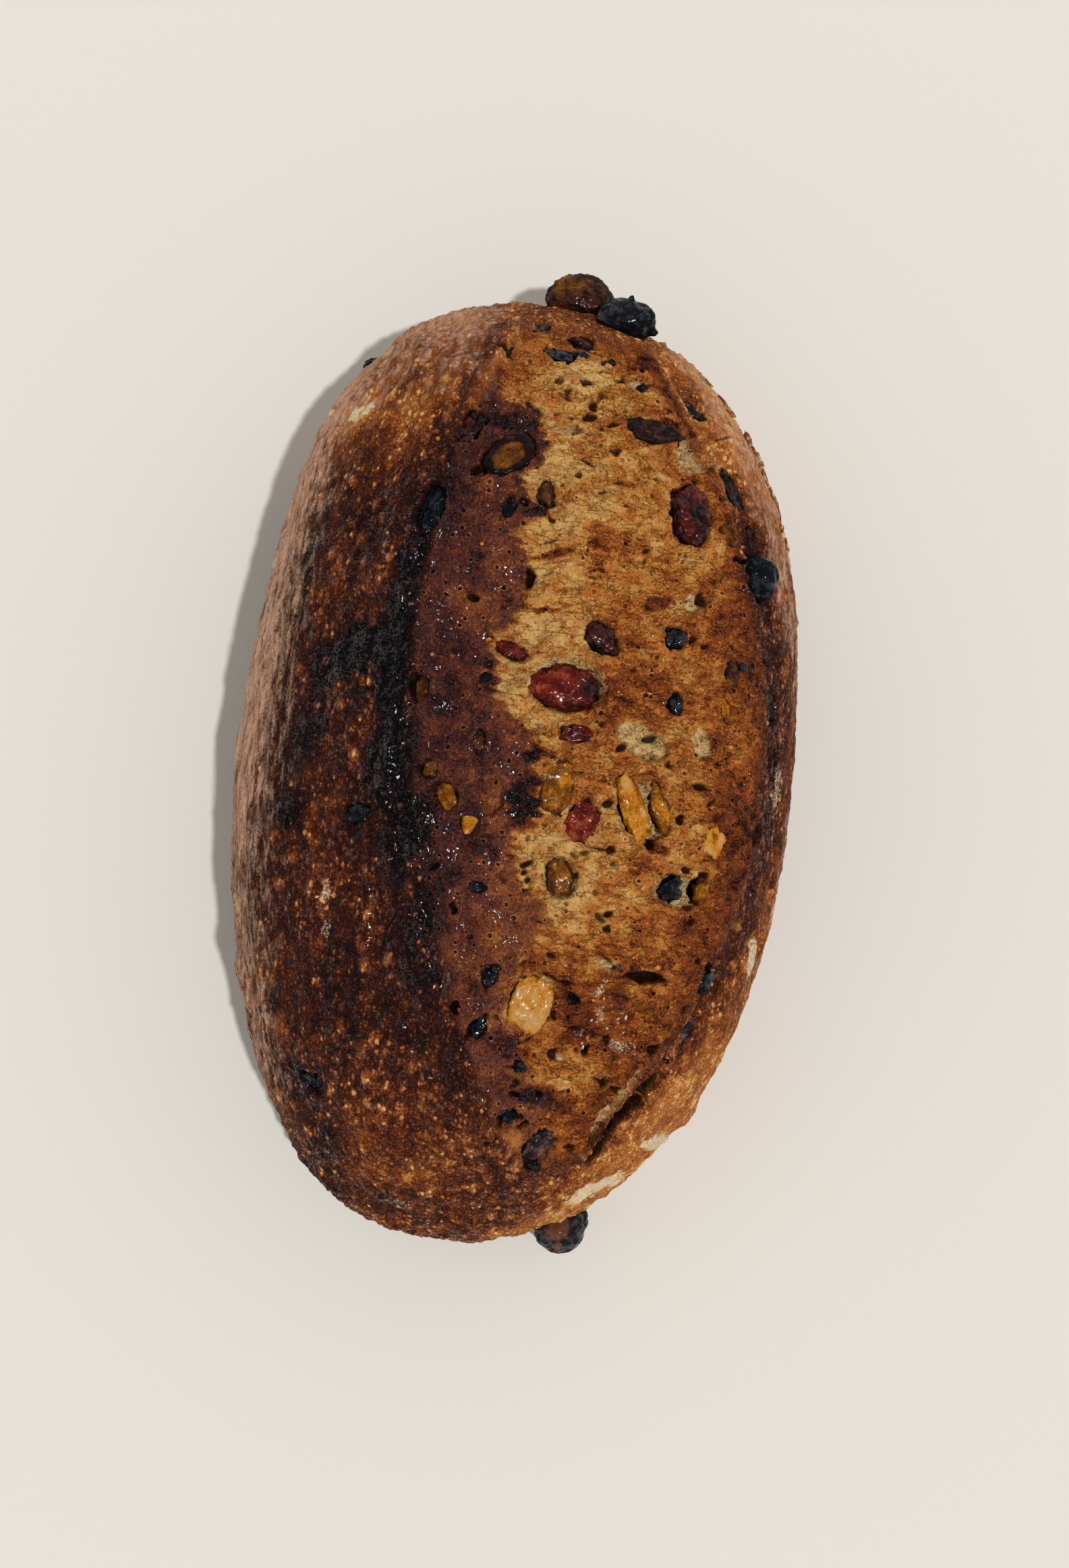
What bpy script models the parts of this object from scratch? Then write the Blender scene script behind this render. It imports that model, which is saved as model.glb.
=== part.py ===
"""A fruit loaf: an oval hearth-baked batard that has burst open along one long score, with raisins,
cranberries and golden sultanas set in the crust and in the burst.

Units are metres. +Z is up and the loaf rests on z = 0. +Y runs along the loaf to its far end, where
two fat fruits sit on the rim. The crust is left of the score, at -X, and the burst is right of it.
"""

import math

import bmesh
import bpy
import numpy as np
from mathutils import Matrix, Vector, noise
from mathutils.bvhtree import BVHTree

MM = 0.001

# The loaf's own size, without the fruits that stand out of it.
LOAF_LENGTH = 220 * MM
LOAF_WIDTH = 127 * MM
LOAF_HEIGHT = 79 * MM
GIRTH_HEIGHT = 29 * MM  # the wall bulges out furthest here
NEAR_GIRTH_DROP = 16 * MM  # and this much lower at the near tip, which lies close to the table
FAR_GIRTH_DROP = 6 * MM
NEAR_TIP_DRIFT = 7 * MM  # how far the two tips bend to -X
FAR_TIP_DRIFT = 5 * MM

# How square each outline is: 2 is an ellipse, more is squarer.
FAR_PLAN_SQUARENESS = 2.45
NEAR_PLAN_SQUARENESS = 2.2
CROWN_SQUARENESS = 2.5
SHOULDER_SQUARENESS = 2.25
FOOT_SQUARENESS = 2.7
FOOT_SINK = 9 * MM  # the lower curve would reach this far under the table, which makes it flat

# The burst runs between the ridge, where the crust has lifted, and the crease down at the right wall.
RIDGE_ACROSS = -25.5 * MM
RIDGE_BEND_AT = 22 * MM
RIDGE_BEND = 2.6  # 1/m: how fast the ridge swings back towards the middle line
CREASE_ACROSS = 59 * MM
CREASE_BEND_AT = -4 * MM
CREASE_BEND_FAR = 3.4
CREASE_BEND_NEAR = 4.7
BURST_FAR_END = 99 * MM
BURST_NEAR_END = -89 * MM

# Relief, all along the surface's normal.
RIDGE_LIFT = 2.6 * MM
CREASE_DEPTH = 2.4 * MM
BURST_SINK = 1.6 * MM
BURST_LUMPS = 1.5 * MM
CRUST_FOLDS = 0.9 * MM
SHOULDER_SWELL = 1.2 * MM

# Swellings of the crust over fruit that lies under it: across, along, height, radius, rise, in mm.
BUMPS = (
    (-30, 81, 62, 5, 1.4),
    (24, 74, 66, 6, 1.6),
    (38, 36, 69, 4, 1.2),
    (-61, 15, 49, 5, 1.3),
    (-48, -19, 65, 4, 1.2),
    (-12, -50, 77, 5, 1.6),
    (-57, -52, 38, 3, 1.3),
    (-47, -60, 56, 3, 1.2),
    (46, -75, 30, 4, 1.5),
    (-7, -78, 70, 3, 1.0),
    (-32, -90, 52, 4, 1.2),
    (-31, -98, 36, 4, 1.3),
)

# Hollows in the burst: across, along, length, width, depth in mm, and the turn in degrees.
HOLLOWS = (
    (3.5, 72, 7, 4.5, 3.0, 6),
    (33.3, 70, 12, 8, 1.8, -4),
    (-0.5, 36.7, 6, 2.6, 3.0, 93),
    (9, 14, 19, 13, 1.6, 4),
    (28, 4, 13, 8, 1.8, -19),
    (41, 6, 8, 6, 1.2, -69),
    (30, -11, 17, 13, 1.8, -66),
    (-3, -11, 9, 5, 1.6, 90),
    (40, -27, 14, 8, 1.5, 6),
    (33, -46.5, 9, 4, 4.0, 3),
    (31, -78.5, 25, 4.4, 5.0, 56),
)

HOLLOW_SPREAD = 1.3  # the cutter is this much wider than the hollow that it leaves

# The fruits: across, along, length, width in mm, and the turn in degrees from +X towards +Y, seen from
# above. Each kind is numbered in this order, which runs roughly from the far end to the near end.
RAISINS = (
    (-4, 98, 5.5, 4.6, 96),
    (0.5, 91.5, 6.8, 4, -4),
    (32, 83, 6.5, 4.5, -34),
    (-6.5, 52.5, 6, 4, 80),
    (-23.5, 50, 12, 6.2, 81),
    (49, 45.5, 11, 8.5, -64),
    (32.5, 27.5, 6, 5, 16),
    (55.5, 17.5, 7.3, 5, 94),
    (34, 13, 4.4, 3.8, -64),
    (57.5, 5.5, 7.6, 5, 86),
    (-32, -17.5, 6.2, 4.8, 21),
    (55.5, -21.5, 4.6, 4.2, 96),
    (37, -27, 6.2, 5.6, 36),
    (47, -46, 5.8, 5.4, 96),
    (0, -50, 5.4, 3.8, 61),
    (43.5, -57, 7, 5.4, 86),
    (-2, -61, 6.2, 4.6, 66),
    (-37, -76.5, 6, 5, -34),
    (6, -79.5, 4.8, 3.8, 6),
    (13.5, -85, 8, 6, 71),
)
CRANBERRIES = (
    (5.5, 96, 6.2, 4.3, -24),
    (-17.5, 70, 9.3, 5.4, 66),
    (42.5, 65, 10.4, 4.8, -56),
    (33.5, 56.5, 14, 10.5, -79),
    (47.5, 55, 6.4, 3.8, -64),
    (16.5, 25, 9, 5.8, -39),
    (-3, 20.5, 6.6, 3.4, -19),
    (9.5, 13.5, 15.2, 9.9, 1),
    (13, 4, 6.5, 3.6, 6),
    (54.5, -12, 5.6, 4, 81),
    (16, -15, 9, 6.7, 66),
)
SULTANAS = (
    (-12, 90.5, 4.6, 3.4, -10),
    (24, 74.5, 12, 5.4, -2),
    (-8, 64.5, 13.5, 9, 41),
    (1, 56, 6, 4.4, 96),
    (42, 54.5, 7.6, 3.6, -74),
    (46, 22, 7.5, 3.8, 91),
    (45, 13.5, 5.3, 3.8, 96),
    (-21.5, 10.5, 6.7, 3.8, 91),
    (-8, -0.5, 6, 3.8, 86),
    (-18, -7, 4.4, 3.8, 96),
    (10, -8, 12, 6.7, 86),
    (33, -10.5, 9.6, 4, -69),
    (27, -11, 15.3, 5.2, -66),
    (-13.5, -12.5, 6.7, 4.6, -64),
    (45.5, -15.5, 6.7, 5.8, 66),
    (-8, -18, 4.6, 4.2, 90),
    (44, -26.5, 6, 5, 86),
    (12.5, -27.5, 8, 5.5, -74),
    (9, -55, 12.8, 9, 66),
)

# The fruits that hang on the rim: name, then across, along, height, length, width in mm, and the turn.
RIM_FRUITS = (
    ("sultana_far_rim", 3.5, 111.5, 37, 16, 12, 1),
    ("raisin_far_rim", 14.6, 105, 45, 15, 11, 1),
    ("raisin_left_rim", -44.5, 94.7, 21, 5, 4.4, 6),
    ("raisin_near_rim", 21, -105, 9.5, 13.5, 11.5, 46),
)

FRUIT_THICKNESS = 0.82  # share of the width
FRUIT_SINK = 0.2  # how far the middle lies under the crust, as a share of the thickness
FRUIT_WRINKLES = 0.12  # share of the radius
FRUIT_CLEARANCE = 0.35 * MM
RIM_FRUIT_THICKNESS = 0.95

# Currants too small to be pieces of their own, fused on: across, along, width in mm.
CURRANTS = ((20, 85, 3.0), (-7.5, 13.5, 3.6), (-5, -31.5, 3.2), (8, -68, 3.4))
CURRANT_SINK = 0.3  # share of the width

# Mesh density.
GIRTH_STEPS = 41
LENGTH_STEPS = 46
CROWN_CROWDING = 0.4  # moves the girth's points up from the base to the crown
BIG_FRUIT = 13 * MM  # from this length on a fruit gets the finest mesh
SMALL_FRUIT = 6.5 * MM  # and under this length the coarsest


def smooth_step(low, high, values):
    """0 below low, 1 above high, and a smooth rise between them."""
    share = np.clip((values - low) / (high - low), 0, 1)
    return share * share * (3 - 2 * share)


def bell(distance, width):
    """1 at no distance, falling to 0 well past the width."""
    return np.exp(-((distance / width) ** 2))


def squared_circle(a, b, squareness):
    """The direction (a, b) carried out to a unit superellipse."""
    reach = (np.abs(a) ** squareness + np.abs(b) ** squareness) ** (1 / squareness)
    return a / reach, b / reach


def plain_loaf(directions):
    """Carries unit directions, whose poles lie on the Y axis, out to the loaf without its relief."""
    along = directions[:, 1]
    around = np.hypot(directions[:, 0], directions[:, 2])
    angle = np.arctan2(directions[:, 2], directions[:, 0])
    angle = angle + CROWN_CROWDING * np.cos(angle)
    plan = np.where(along > 0, FAR_PLAN_SQUARENESS, NEAR_PLAN_SQUARENESS)
    along, width = squared_circle(along, around, plan)
    crown = (1 - np.minimum(np.abs(along), 1) ** CROWN_SQUARENESS) ** (1 / CROWN_SQUARENESS)
    top_x, top_z = squared_circle(np.cos(angle), np.sin(angle), SHOULDER_SQUARENESS)
    foot_x, foot_z = squared_circle(np.cos(angle), np.sin(angle), FOOT_SQUARENESS)
    above = np.sin(angle) > 0
    x = LOAF_WIDTH / 2 * width * np.where(above, top_x, foot_x)
    x -= np.where(along > 0, FAR_TIP_DRIFT, NEAR_TIP_DRIFT) * np.abs(along) ** 3
    girth = GIRTH_HEIGHT - NEAR_GIRTH_DROP * smooth_step(0.5, 1, -along)
    girth -= FAR_GIRTH_DROP * smooth_step(0.5, 1, along)
    rise = (LOAF_HEIGHT - girth) * crown * top_z
    drop = (girth + FOOT_SINK) * crown * foot_z
    z = np.maximum(girth + np.where(above, rise, drop), 0)
    return np.column_stack([x, LOAF_LENGTH / 2 * along, z])


def ridge_line(y):
    """Where the lifted edge of the crust lies across the loaf."""
    return RIDGE_ACROSS + RIDGE_BEND * (y - RIDGE_BEND_AT) ** 2


def crease_line(y):
    """Where the burst meets the right wall."""
    bend = np.where(y > CREASE_BEND_AT, CREASE_BEND_FAR, CREASE_BEND_NEAR)
    return CREASE_ACROSS - bend * (y - CREASE_BEND_AT) ** 2


def lumps(points, size, stretch=(1, 1, 1)):
    """Smooth noise from -1 to 1 with swellings about this size, drawn out along an axis by stretch."""
    scaled = points / (size * np.array(stretch))
    return np.array([noise.noise(Vector(p)) for p in scaled])


def relief(points):
    """How far each point of the plain loaf stands out along its normal."""
    x, y, z = points.T
    top = smooth_step(GIRTH_HEIGHT + 4 * MM, GIRTH_HEIGHT + 16 * MM, z)
    ends = smooth_step(BURST_NEAR_END - 6 * MM, BURST_NEAR_END + 8 * MM, y)
    ends *= 1 - smooth_step(BURST_FAR_END - 8 * MM, BURST_FAR_END + 4 * MM, y)
    from_ridge = x - ridge_line(y)
    from_crease = x - crease_line(y)
    lip = np.where(from_ridge < 0, bell(from_ridge, 9 * MM), bell(from_ridge, 3.5 * MM))
    inside = smooth_step(0, 6 * MM, from_ridge) * smooth_step(0, 8 * MM, -from_crease)
    burst = inside * (BURST_LUMPS * lumps(points, 22 * MM) + BURST_LUMPS * 0.5 * lumps(points, 9 * MM))
    burst -= BURST_SINK * inside * bell(from_ridge, 16 * MM)
    groove = CREASE_DEPTH * bell(from_crease, 3.5 * MM)
    crust = CRUST_FOLDS * (1 - inside) * lumps(points, 13 * MM, stretch=(1, 4, 1))
    swell = SHOULDER_SWELL * bell(x + 56 * MM, 16 * MM) * bell(y + 12 * MM, 34 * MM)
    for across, along, height, radius, rise in BUMPS:
        centre = np.array([across, along, height]) * MM
        swell += rise * MM * bell(np.linalg.norm(points - centre, axis=1), radius * MM)
    wall = smooth_step(0, 12 * MM, z)
    return wall * (crust + swell) + top * ends * (RIDGE_LIFT * lip + burst - groove)


def plain_material(name, colour, roughness):
    material = bpy.data.materials.new(name)
    material.use_nodes = True
    shader = material.node_tree.nodes["Principled BSDF"]
    shader.inputs["Base Color"].default_value = (*colour, 1)
    shader.inputs["Roughness"].default_value = roughness
    shader.inputs["Metallic"].default_value = 0
    return material


def add_object(name, shape, collection, material=None, seat=None):
    """Makes an object of the shape, in triangles, at its seat, and links it to the collection."""
    bmesh.ops.triangulate(shape, faces=shape.faces)
    mesh = bpy.data.meshes.new(name)
    shape.to_mesh(mesh)
    shape.free()
    if material:
        mesh.materials.append(material)
    item = bpy.data.objects.new(name, mesh)
    if seat:
        item.location = seat.to_translation()
        item.rotation_euler = seat.to_euler()
    collection.objects.link(item)
    return item


def add_cutter(name, shape, collection, seat):
    item = add_object(name, shape, collection, seat=seat)
    item.hide_render = True
    item.display_type = "WIRE"


def loaf_shape():
    shape = bmesh.new()
    bmesh.ops.create_uvsphere(shape, u_segments=GIRTH_STEPS, v_segments=LENGTH_STEPS, radius=1)
    bmesh.ops.rotate(shape, verts=shape.verts, matrix=Matrix.Rotation(-math.pi / 2, 3, "X"))
    directions = np.array([vertex.co for vertex in shape.verts])
    for vertex, place in zip(shape.verts, plain_loaf(directions)):
        vertex.co = place
    shape.normal_update()
    places = np.array([vertex.co for vertex in shape.verts])
    for vertex, height in zip(shape.verts, relief(places)):
        vertex.co += vertex.normal * float(height)
        vertex.co.z = max(vertex.co.z, 0)
    return shape


def merge_flat_base(shape):
    """The faces that lie on the table become one, with only its rim's points."""
    low = 0.001 * MM
    points = [vertex for vertex in shape.verts if vertex.co.z < low]
    edges = [edge for edge in shape.edges if all(vertex.co.z < low for vertex in edge.verts)]
    bmesh.ops.dissolve_limit(shape, angle_limit=math.radians(0.5), verts=points, edges=edges)


def fruit_shape(length, width, thickness, seed, clearance=0):
    """A wrinkled dried fruit about the origin, its length along X and its thickness along Z."""
    shape = bmesh.new()
    if length >= BIG_FRUIT:
        bmesh.ops.create_uvsphere(shape, u_segments=12, v_segments=8, radius=0.5)
    elif length >= SMALL_FRUIT:
        bmesh.ops.create_icosphere(shape, subdivisions=2, radius=0.5)
    else:
        bmesh.ops.create_uvsphere(shape, u_segments=8, v_segments=4, radius=0.5)
    for vertex in shape.verts:
        crinkle = noise.noise(vertex.co * 4 + Vector((seed * 3.7, 0, 0)))
        vertex.co *= 1 + FRUIT_WRINKLES * crinkle
    size = Vector((length, width, thickness)) + Vector((2, 2, 2)) * clearance
    bmesh.ops.scale(shape, vec=size, verts=shape.verts)
    return shape


def surface_below(tree, across, along):
    """The point and the normal of the loaf's top at this place."""
    place, normal, _, _ = tree.ray_cast(Vector((across, along, 2 * LOAF_HEIGHT)), Vector((0, 0, -1)))
    return place, normal


def seat_on(tree, across, along, turn, sink):
    """The matrix that lays a shape on the loaf's top, turned about the normal and sunk along it."""
    place, normal = surface_below(tree, across, along)
    tilt = Vector((0, 0, 1)).rotation_difference(normal).to_matrix().to_4x4()
    return Matrix.Translation(place - normal * sink) @ tilt @ Matrix.Rotation(math.radians(turn), 4, "Z")


def fruit_rows():
    """Each fruit on the crust as (name, kind, seed, across, along, length, width, turn)."""
    seed = 0
    for kind, rows in (("raisin", RAISINS), ("cranberry", CRANBERRIES), ("sultana", SULTANAS)):
        for number, row in enumerate(rows, start=1):
            seed += 1
            yield (f"{kind}_{number:02d}", kind, seed, *row)


def add_fruit(name, size, seat, seed, material, parts, cutters):
    """A fruit, and its pocket: the same shape, larger all round by the clearance."""
    add_object(name, fruit_shape(*size, seed), parts, material, seat)
    pocket = fruit_shape(*size, seed, clearance=FRUIT_CLEARANCE)
    add_cutter(f"{name}_pocket", pocket, cutters, seat)


def add_hollows(tree, cutters):
    """Each hollow is cut by an ellipsoid whose middle stands out of the crust by the hollow's depth."""
    for number, (across, along, length, width, depth, turn) in enumerate(HOLLOWS, start=1):
        shape = bmesh.new()
        bmesh.ops.create_uvsphere(shape, u_segments=10, v_segments=6, radius=0.5)
        size = (HOLLOW_SPREAD * length, HOLLOW_SPREAD * width, 4 * depth)
        bmesh.ops.scale(shape, vec=Vector(size) * MM, verts=shape.verts)
        seat = seat_on(tree, across * MM, along * MM, turn, -depth * MM)
        add_cutter(f"hollow_{number}", shape, cutters, seat)


def add_currants(tree, fused):
    for number, (across, along, width) in enumerate(CURRANTS, start=1):
        shape = bmesh.new()
        bmesh.ops.create_icosphere(shape, subdivisions=1, radius=width / 2 * MM)
        seat = seat_on(tree, across * MM, along * MM, 30 * number, CURRANT_SINK * width * MM)
        add_cutter(f"currant_{number}", shape, fused, seat)


def boolean(item, operation, collection):
    modifier = item.modifiers.new(operation.lower(), "BOOLEAN")
    modifier.operation = operation
    modifier.solver = "EXACT"
    modifier.operand_type = "COLLECTION"
    modifier.collection = collection


def new_collection(name, helper=False):
    collection = bpy.data.collections.new(name)
    bpy.context.scene.collection.children.link(collection)
    collection.hide_render = helper
    return collection


def centre_on_origin(parts, helpers):
    """Moves everything so that the origin lies under the middle of the parts' common box."""
    bpy.context.view_layer.update()
    corners = [part.matrix_world @ vertex.co for part in parts for vertex in part.data.vertices]
    corners = np.array(corners)
    middle = (corners.min(axis=0) + corners.max(axis=0)) / 2
    origin = bpy.data.objects.new("origin", None)
    bpy.context.scene.collection.objects.link(origin)
    origin.location = (-middle[0], -middle[1], 0)
    for item in [*parts, *helpers]:
        item.parent = origin


def clear_scene():
    for item in list(bpy.data.objects):
        bpy.data.objects.remove(item)


def main():
    clear_scene()
    parts = new_collection("fruit_loaf")
    cutters = new_collection("cutters", helper=True)
    fused = new_collection("fused_on", helper=True)
    materials = {
        "raisin": plain_material("raisin_skin", (0.012, 0.010, 0.010), roughness=0.3),
        "cranberry": plain_material("cranberry_skin", (0.10, 0.012, 0.010), roughness=0.25),
        "sultana": plain_material("sultana_skin", (0.36, 0.19, 0.045), roughness=0.3),
    }
    shape = loaf_shape()
    tree = BVHTree.FromBMesh(shape)
    merge_flat_base(shape)
    crust = plain_material("crust", (0.19, 0.075, 0.035), roughness=0.45)
    loaf = add_object("loaf", shape, parts, crust)

    for name, kind, seed, across, along, length, width, turn in fruit_rows():
        thickness = FRUIT_THICKNESS * width
        size = np.array([length, width, thickness]) * MM
        seat = seat_on(tree, across * MM, along * MM, turn, FRUIT_SINK * thickness * MM)
        add_fruit(name, size, seat, seed, materials[kind], parts, cutters)
    for seed, (name, across, along, height, length, width, turn) in enumerate(RIM_FRUITS, start=101):
        size = np.array([length, width, RIM_FRUIT_THICKNESS * width]) * MM
        middle = Vector((across, along, height)) * MM
        seat = Matrix.Translation(middle) @ Matrix.Rotation(math.radians(turn), 4, "Z")
        add_fruit(name, size, seat, seed, materials[name.split("_")[0]], parts, cutters)
    add_hollows(tree, cutters)
    add_currants(tree, fused)
    boolean(loaf, "UNION", fused)
    boolean(loaf, "DIFFERENCE", cutters)
    centre_on_origin([*parts.objects], [*cutters.objects, *fused.objects])


main()
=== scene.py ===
import math

import bmesh
import bpy
import numpy as np
from mathutils import Matrix, Vector, noise


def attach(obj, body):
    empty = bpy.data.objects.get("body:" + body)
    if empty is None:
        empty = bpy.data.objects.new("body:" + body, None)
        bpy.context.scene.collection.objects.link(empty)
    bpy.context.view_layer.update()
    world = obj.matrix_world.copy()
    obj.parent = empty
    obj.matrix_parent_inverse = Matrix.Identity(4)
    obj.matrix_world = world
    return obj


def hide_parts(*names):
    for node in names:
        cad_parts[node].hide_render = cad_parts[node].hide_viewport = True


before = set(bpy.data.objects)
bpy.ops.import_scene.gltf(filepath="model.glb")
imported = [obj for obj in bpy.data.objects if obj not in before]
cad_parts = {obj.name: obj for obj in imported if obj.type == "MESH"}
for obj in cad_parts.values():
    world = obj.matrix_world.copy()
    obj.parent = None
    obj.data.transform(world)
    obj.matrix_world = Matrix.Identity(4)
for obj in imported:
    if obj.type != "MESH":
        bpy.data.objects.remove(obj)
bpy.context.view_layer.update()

# ---------------------------------------------------------------------------------------------------
# The loaf's form: an oval hearth-baked batard, blunt at both ends and flat below. It is shaped by hand
# and scored once, so that in the oven the cut's left lip lifts into a ridge and its right side bursts.
# Lengths are in millimetres on the loaf: X across, Y along to the far end, Z up from the table.
LOAF_LENGTH = 220
LOAF_WIDTH = 127
LOAF_HEIGHT = 79
GIRTH_HEIGHT = 29  # where the loaf is widest
NEAR_GIRTH_DROP = 16  # how much lower that lies at the tips
FAR_GIRTH_DROP = 6
NEAR_TIP_DRIFT = 7  # how far the tips bend to the left
FAR_TIP_DRIFT = 5
NEAR_PLAN_SQUARENESS = 2.2  # 2 is an ellipse, and more is squarer
FAR_PLAN_SQUARENESS = 2.45
CROWN_SQUARENESS = 2.5
SHOULDER_SQUARENESS = 2.25
FOOT_SQUARENESS = 2.7
FOOT_SINK = 9  # how much of the rounded foot its own weight has pressed flat

RIDGE_ACROSS = -25.5  # the ridge and the crease bow outwards, furthest at these places along
RIDGE_BEND_AT = 22
RIDGE_BEND = 0.0026
CREASE_ACROSS = 59
CREASE_BEND_AT = -4
CREASE_BEND_FAR = 0.0034
CREASE_BEND_NEAR = 0.0047
BURST_FAR_END = 99
BURST_NEAR_END = -89

RIDGE_LIFT = 2.6
LIP_OUTWARD = 9  # how far the ridge's lip fades out over the crust, and over the burst
LIP_INWARD = 6.5
LIP_WAVER = 0.35
CREASE_DEPTH = 2.4
CREASE_WIDTH = 3.5
BURST_SINK = 1.6  # the burst dips this much behind the lip
SINK_WIDTH = 16
BURST_LUMPS = 1.5
TORN_LUMPS = 2.1
TORN_CRESTS = 1.3
CRUST_FOLDS = 0.9
SHOULDER_SWELL = 1.2
SHOULDER_ACROSS = -56
SHOULDER_ALONG = -12

MM = 0.001
LOAF_MIDDLE = np.array([0.43, -3.188, 0])  # where the loaf's own middle lies in the frame, in mm
SEED_APART = 31.7  # how far apart in the noise two seeds lie


def smooth_step(low, high, values):
    share = np.clip((values - low) / (high - low), 0, 1)
    return share * share * (3 - 2 * share)


def bell(distance, width):
    return np.exp(-((distance / width) ** 2))


def squared_circle(a, b, squareness):
    reach = (np.abs(a) ** squareness + np.abs(b) ** squareness) ** (1 / squareness)
    return a / reach, b / reach


def plan_squareness(along):
    return np.where(along > 0, FAR_PLAN_SQUARENESS, NEAR_PLAN_SQUARENESS)


def tip_drift(along):
    return np.where(along > 0, FAR_TIP_DRIFT, NEAR_TIP_DRIFT) * np.abs(along) ** 3


def plain_loaf(tip, angle):
    """Points of the loaf without relief. The tip angle runs from the near end to the far end, and the
    other goes round the loaf from its right side over the top to its left side."""
    along, width = squared_circle(np.sin(tip), np.cos(tip), plan_squareness(tip))
    crown = (1 - np.minimum(np.abs(along), 1) ** CROWN_SQUARENESS) ** (1 / CROWN_SQUARENESS)
    top_x, top_z = squared_circle(np.cos(angle), np.sin(angle), SHOULDER_SQUARENESS)
    foot_x, foot_z = squared_circle(np.cos(angle), np.sin(angle), FOOT_SQUARENESS)
    above = np.sin(angle) > 0
    x = LOAF_WIDTH / 2 * width * np.where(above, top_x, foot_x) - tip_drift(along)
    girth = GIRTH_HEIGHT - NEAR_GIRTH_DROP * smooth_step(0.5, 1, -along)
    girth -= FAR_GIRTH_DROP * smooth_step(0.5, 1, along)
    rise = (LOAF_HEIGHT - girth) * crown * top_z
    drop = (girth + FOOT_SINK) * crown * foot_z
    z = np.maximum(girth + np.where(above, rise, drop), 0)
    return np.column_stack([x, LOAF_LENGTH / 2 * along, z])


def tip_at(y):
    """The tip angle at this place along the loaf."""
    along = y / (LOAF_LENGTH / 2)
    squareness = plan_squareness(along)
    return np.arctan2(along, (1 - np.abs(along) ** squareness) ** (1 / squareness))


def angle_at(x, tip):
    """The angle round the loaf at which its top reaches this far across."""
    along, width = squared_circle(np.sin(tip), np.cos(tip), plan_squareness(tip))
    top_x = np.clip((x + tip_drift(along)) / (LOAF_WIDTH / 2 * width), -0.999, 0.999)
    return np.arctan2((1 - np.abs(top_x) ** SHOULDER_SQUARENESS) ** (1 / SHOULDER_SQUARENESS), top_x)


def ridge_line(y):
    return RIDGE_ACROSS + RIDGE_BEND * (y - RIDGE_BEND_AT) ** 2


def crease_line(y):
    bend = np.where(y > CREASE_BEND_AT, CREASE_BEND_FAR, CREASE_BEND_NEAR)
    return CREASE_ACROSS - bend * (y - CREASE_BEND_AT) ** 2


def lumps(points, size, stretch=(1, 1, 1), seed=0):
    """Smooth noise from -1 to 1 with swellings about this size, drawn out along an axis by stretch."""
    scaled = points / (size * np.array(stretch)) + SEED_APART * seed
    return np.array([noise.noise(place) for place in scaled.tolist()])


def ridged(points, size, stretch=(1, 1, 1), seed=0):
    """Noise with sharp crests, as of torn fibres or wrinkled skin."""
    return 0.25 - np.abs(lumps(points, size, stretch, seed))


# Swellings over fruit that lies under the crust: across, along, height, radius, rise.
BUMPS = (
    (-30, 81, 62, 5, 1.4), (24, 74, 66, 6, 1.6), (38, 36, 69, 4, 1.2), (-61, 15, 49, 5, 1.3),
    (-48, -19, 65, 4, 1.2), (-12, -50, 77, 5, 1.6), (-57, -52, 38, 3, 1.3), (-47, -60, 56, 3, 1.2),
    (46, -75, 30, 4, 1.5), (-7, -78, 70, 3, 1.0), (-32, -90, 52, 4, 1.2), (-31, -98, 36, 4, 1.3),
)


def burst_share(points):
    """1 on the burst between the ridge and the crease, and 0 on the crust."""
    x, y, z = points.T
    ends = smooth_step(BURST_NEAR_END - 6, BURST_NEAR_END + 8, y)
    ends *= 1 - smooth_step(BURST_FAR_END - 8, BURST_FAR_END + 4, y)
    top = smooth_step(GIRTH_HEIGHT + 4, GIRTH_HEIGHT + 16, z)
    inside = smooth_step(0, 6, x - ridge_line(y)) * smooth_step(0, 8, crease_line(y) - x)
    return inside, top * ends


def main_relief(points):
    """How far the crust stands out along its normal, as it rose in the oven."""
    x, y, z = points.T
    inside, top = burst_share(points)
    from_ridge = x - ridge_line(y)
    lip = bell(from_ridge, np.where(from_ridge < 0, LIP_OUTWARD, LIP_INWARD))
    lip *= 1 + LIP_WAVER * lumps(points, 6, seed=2)
    burst = BURST_LUMPS * (lumps(points, 22) + 0.5 * lumps(points, 9))
    burst += TORN_LUMPS * lumps(points, 8, seed=51)
    burst += TORN_CRESTS * ridged(points, 6, stretch=(1.8, 0.8, 1), seed=52)
    burst -= BURST_SINK * bell(from_ridge, SINK_WIDTH)
    groove = CREASE_DEPTH * bell(x - crease_line(y), CREASE_WIDTH)
    folds = lumps(points, 13, stretch=(1, 4, 1)) + 2 * ridged(points, 6, stretch=(1, 7, 1), seed=53)
    crust = CRUST_FOLDS * (1 - inside) * folds
    crust += SHOULDER_SWELL * bell(x - SHOULDER_ACROSS, 16) * bell(y - SHOULDER_ALONG, 34)
    for across, along, height, radius, rise in BUMPS:
        crust += rise * bell(np.linalg.norm(points - (across, along, height), axis=1), radius)
    wall = smooth_step(0, 12, z)
    return wall * crust + top * (RIDGE_LIFT * lip + inside * burst - groove)


# ---------------------------------------------------------------------------------------------------
# The pockets: each fruit has left a hollow of its own shape in the dough, with a thin torn rim.
# Their places are those of the fruits' own solids.
FACE_REACH = 1.06  # a fruit reaches this much further than the middles of its faces


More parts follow.
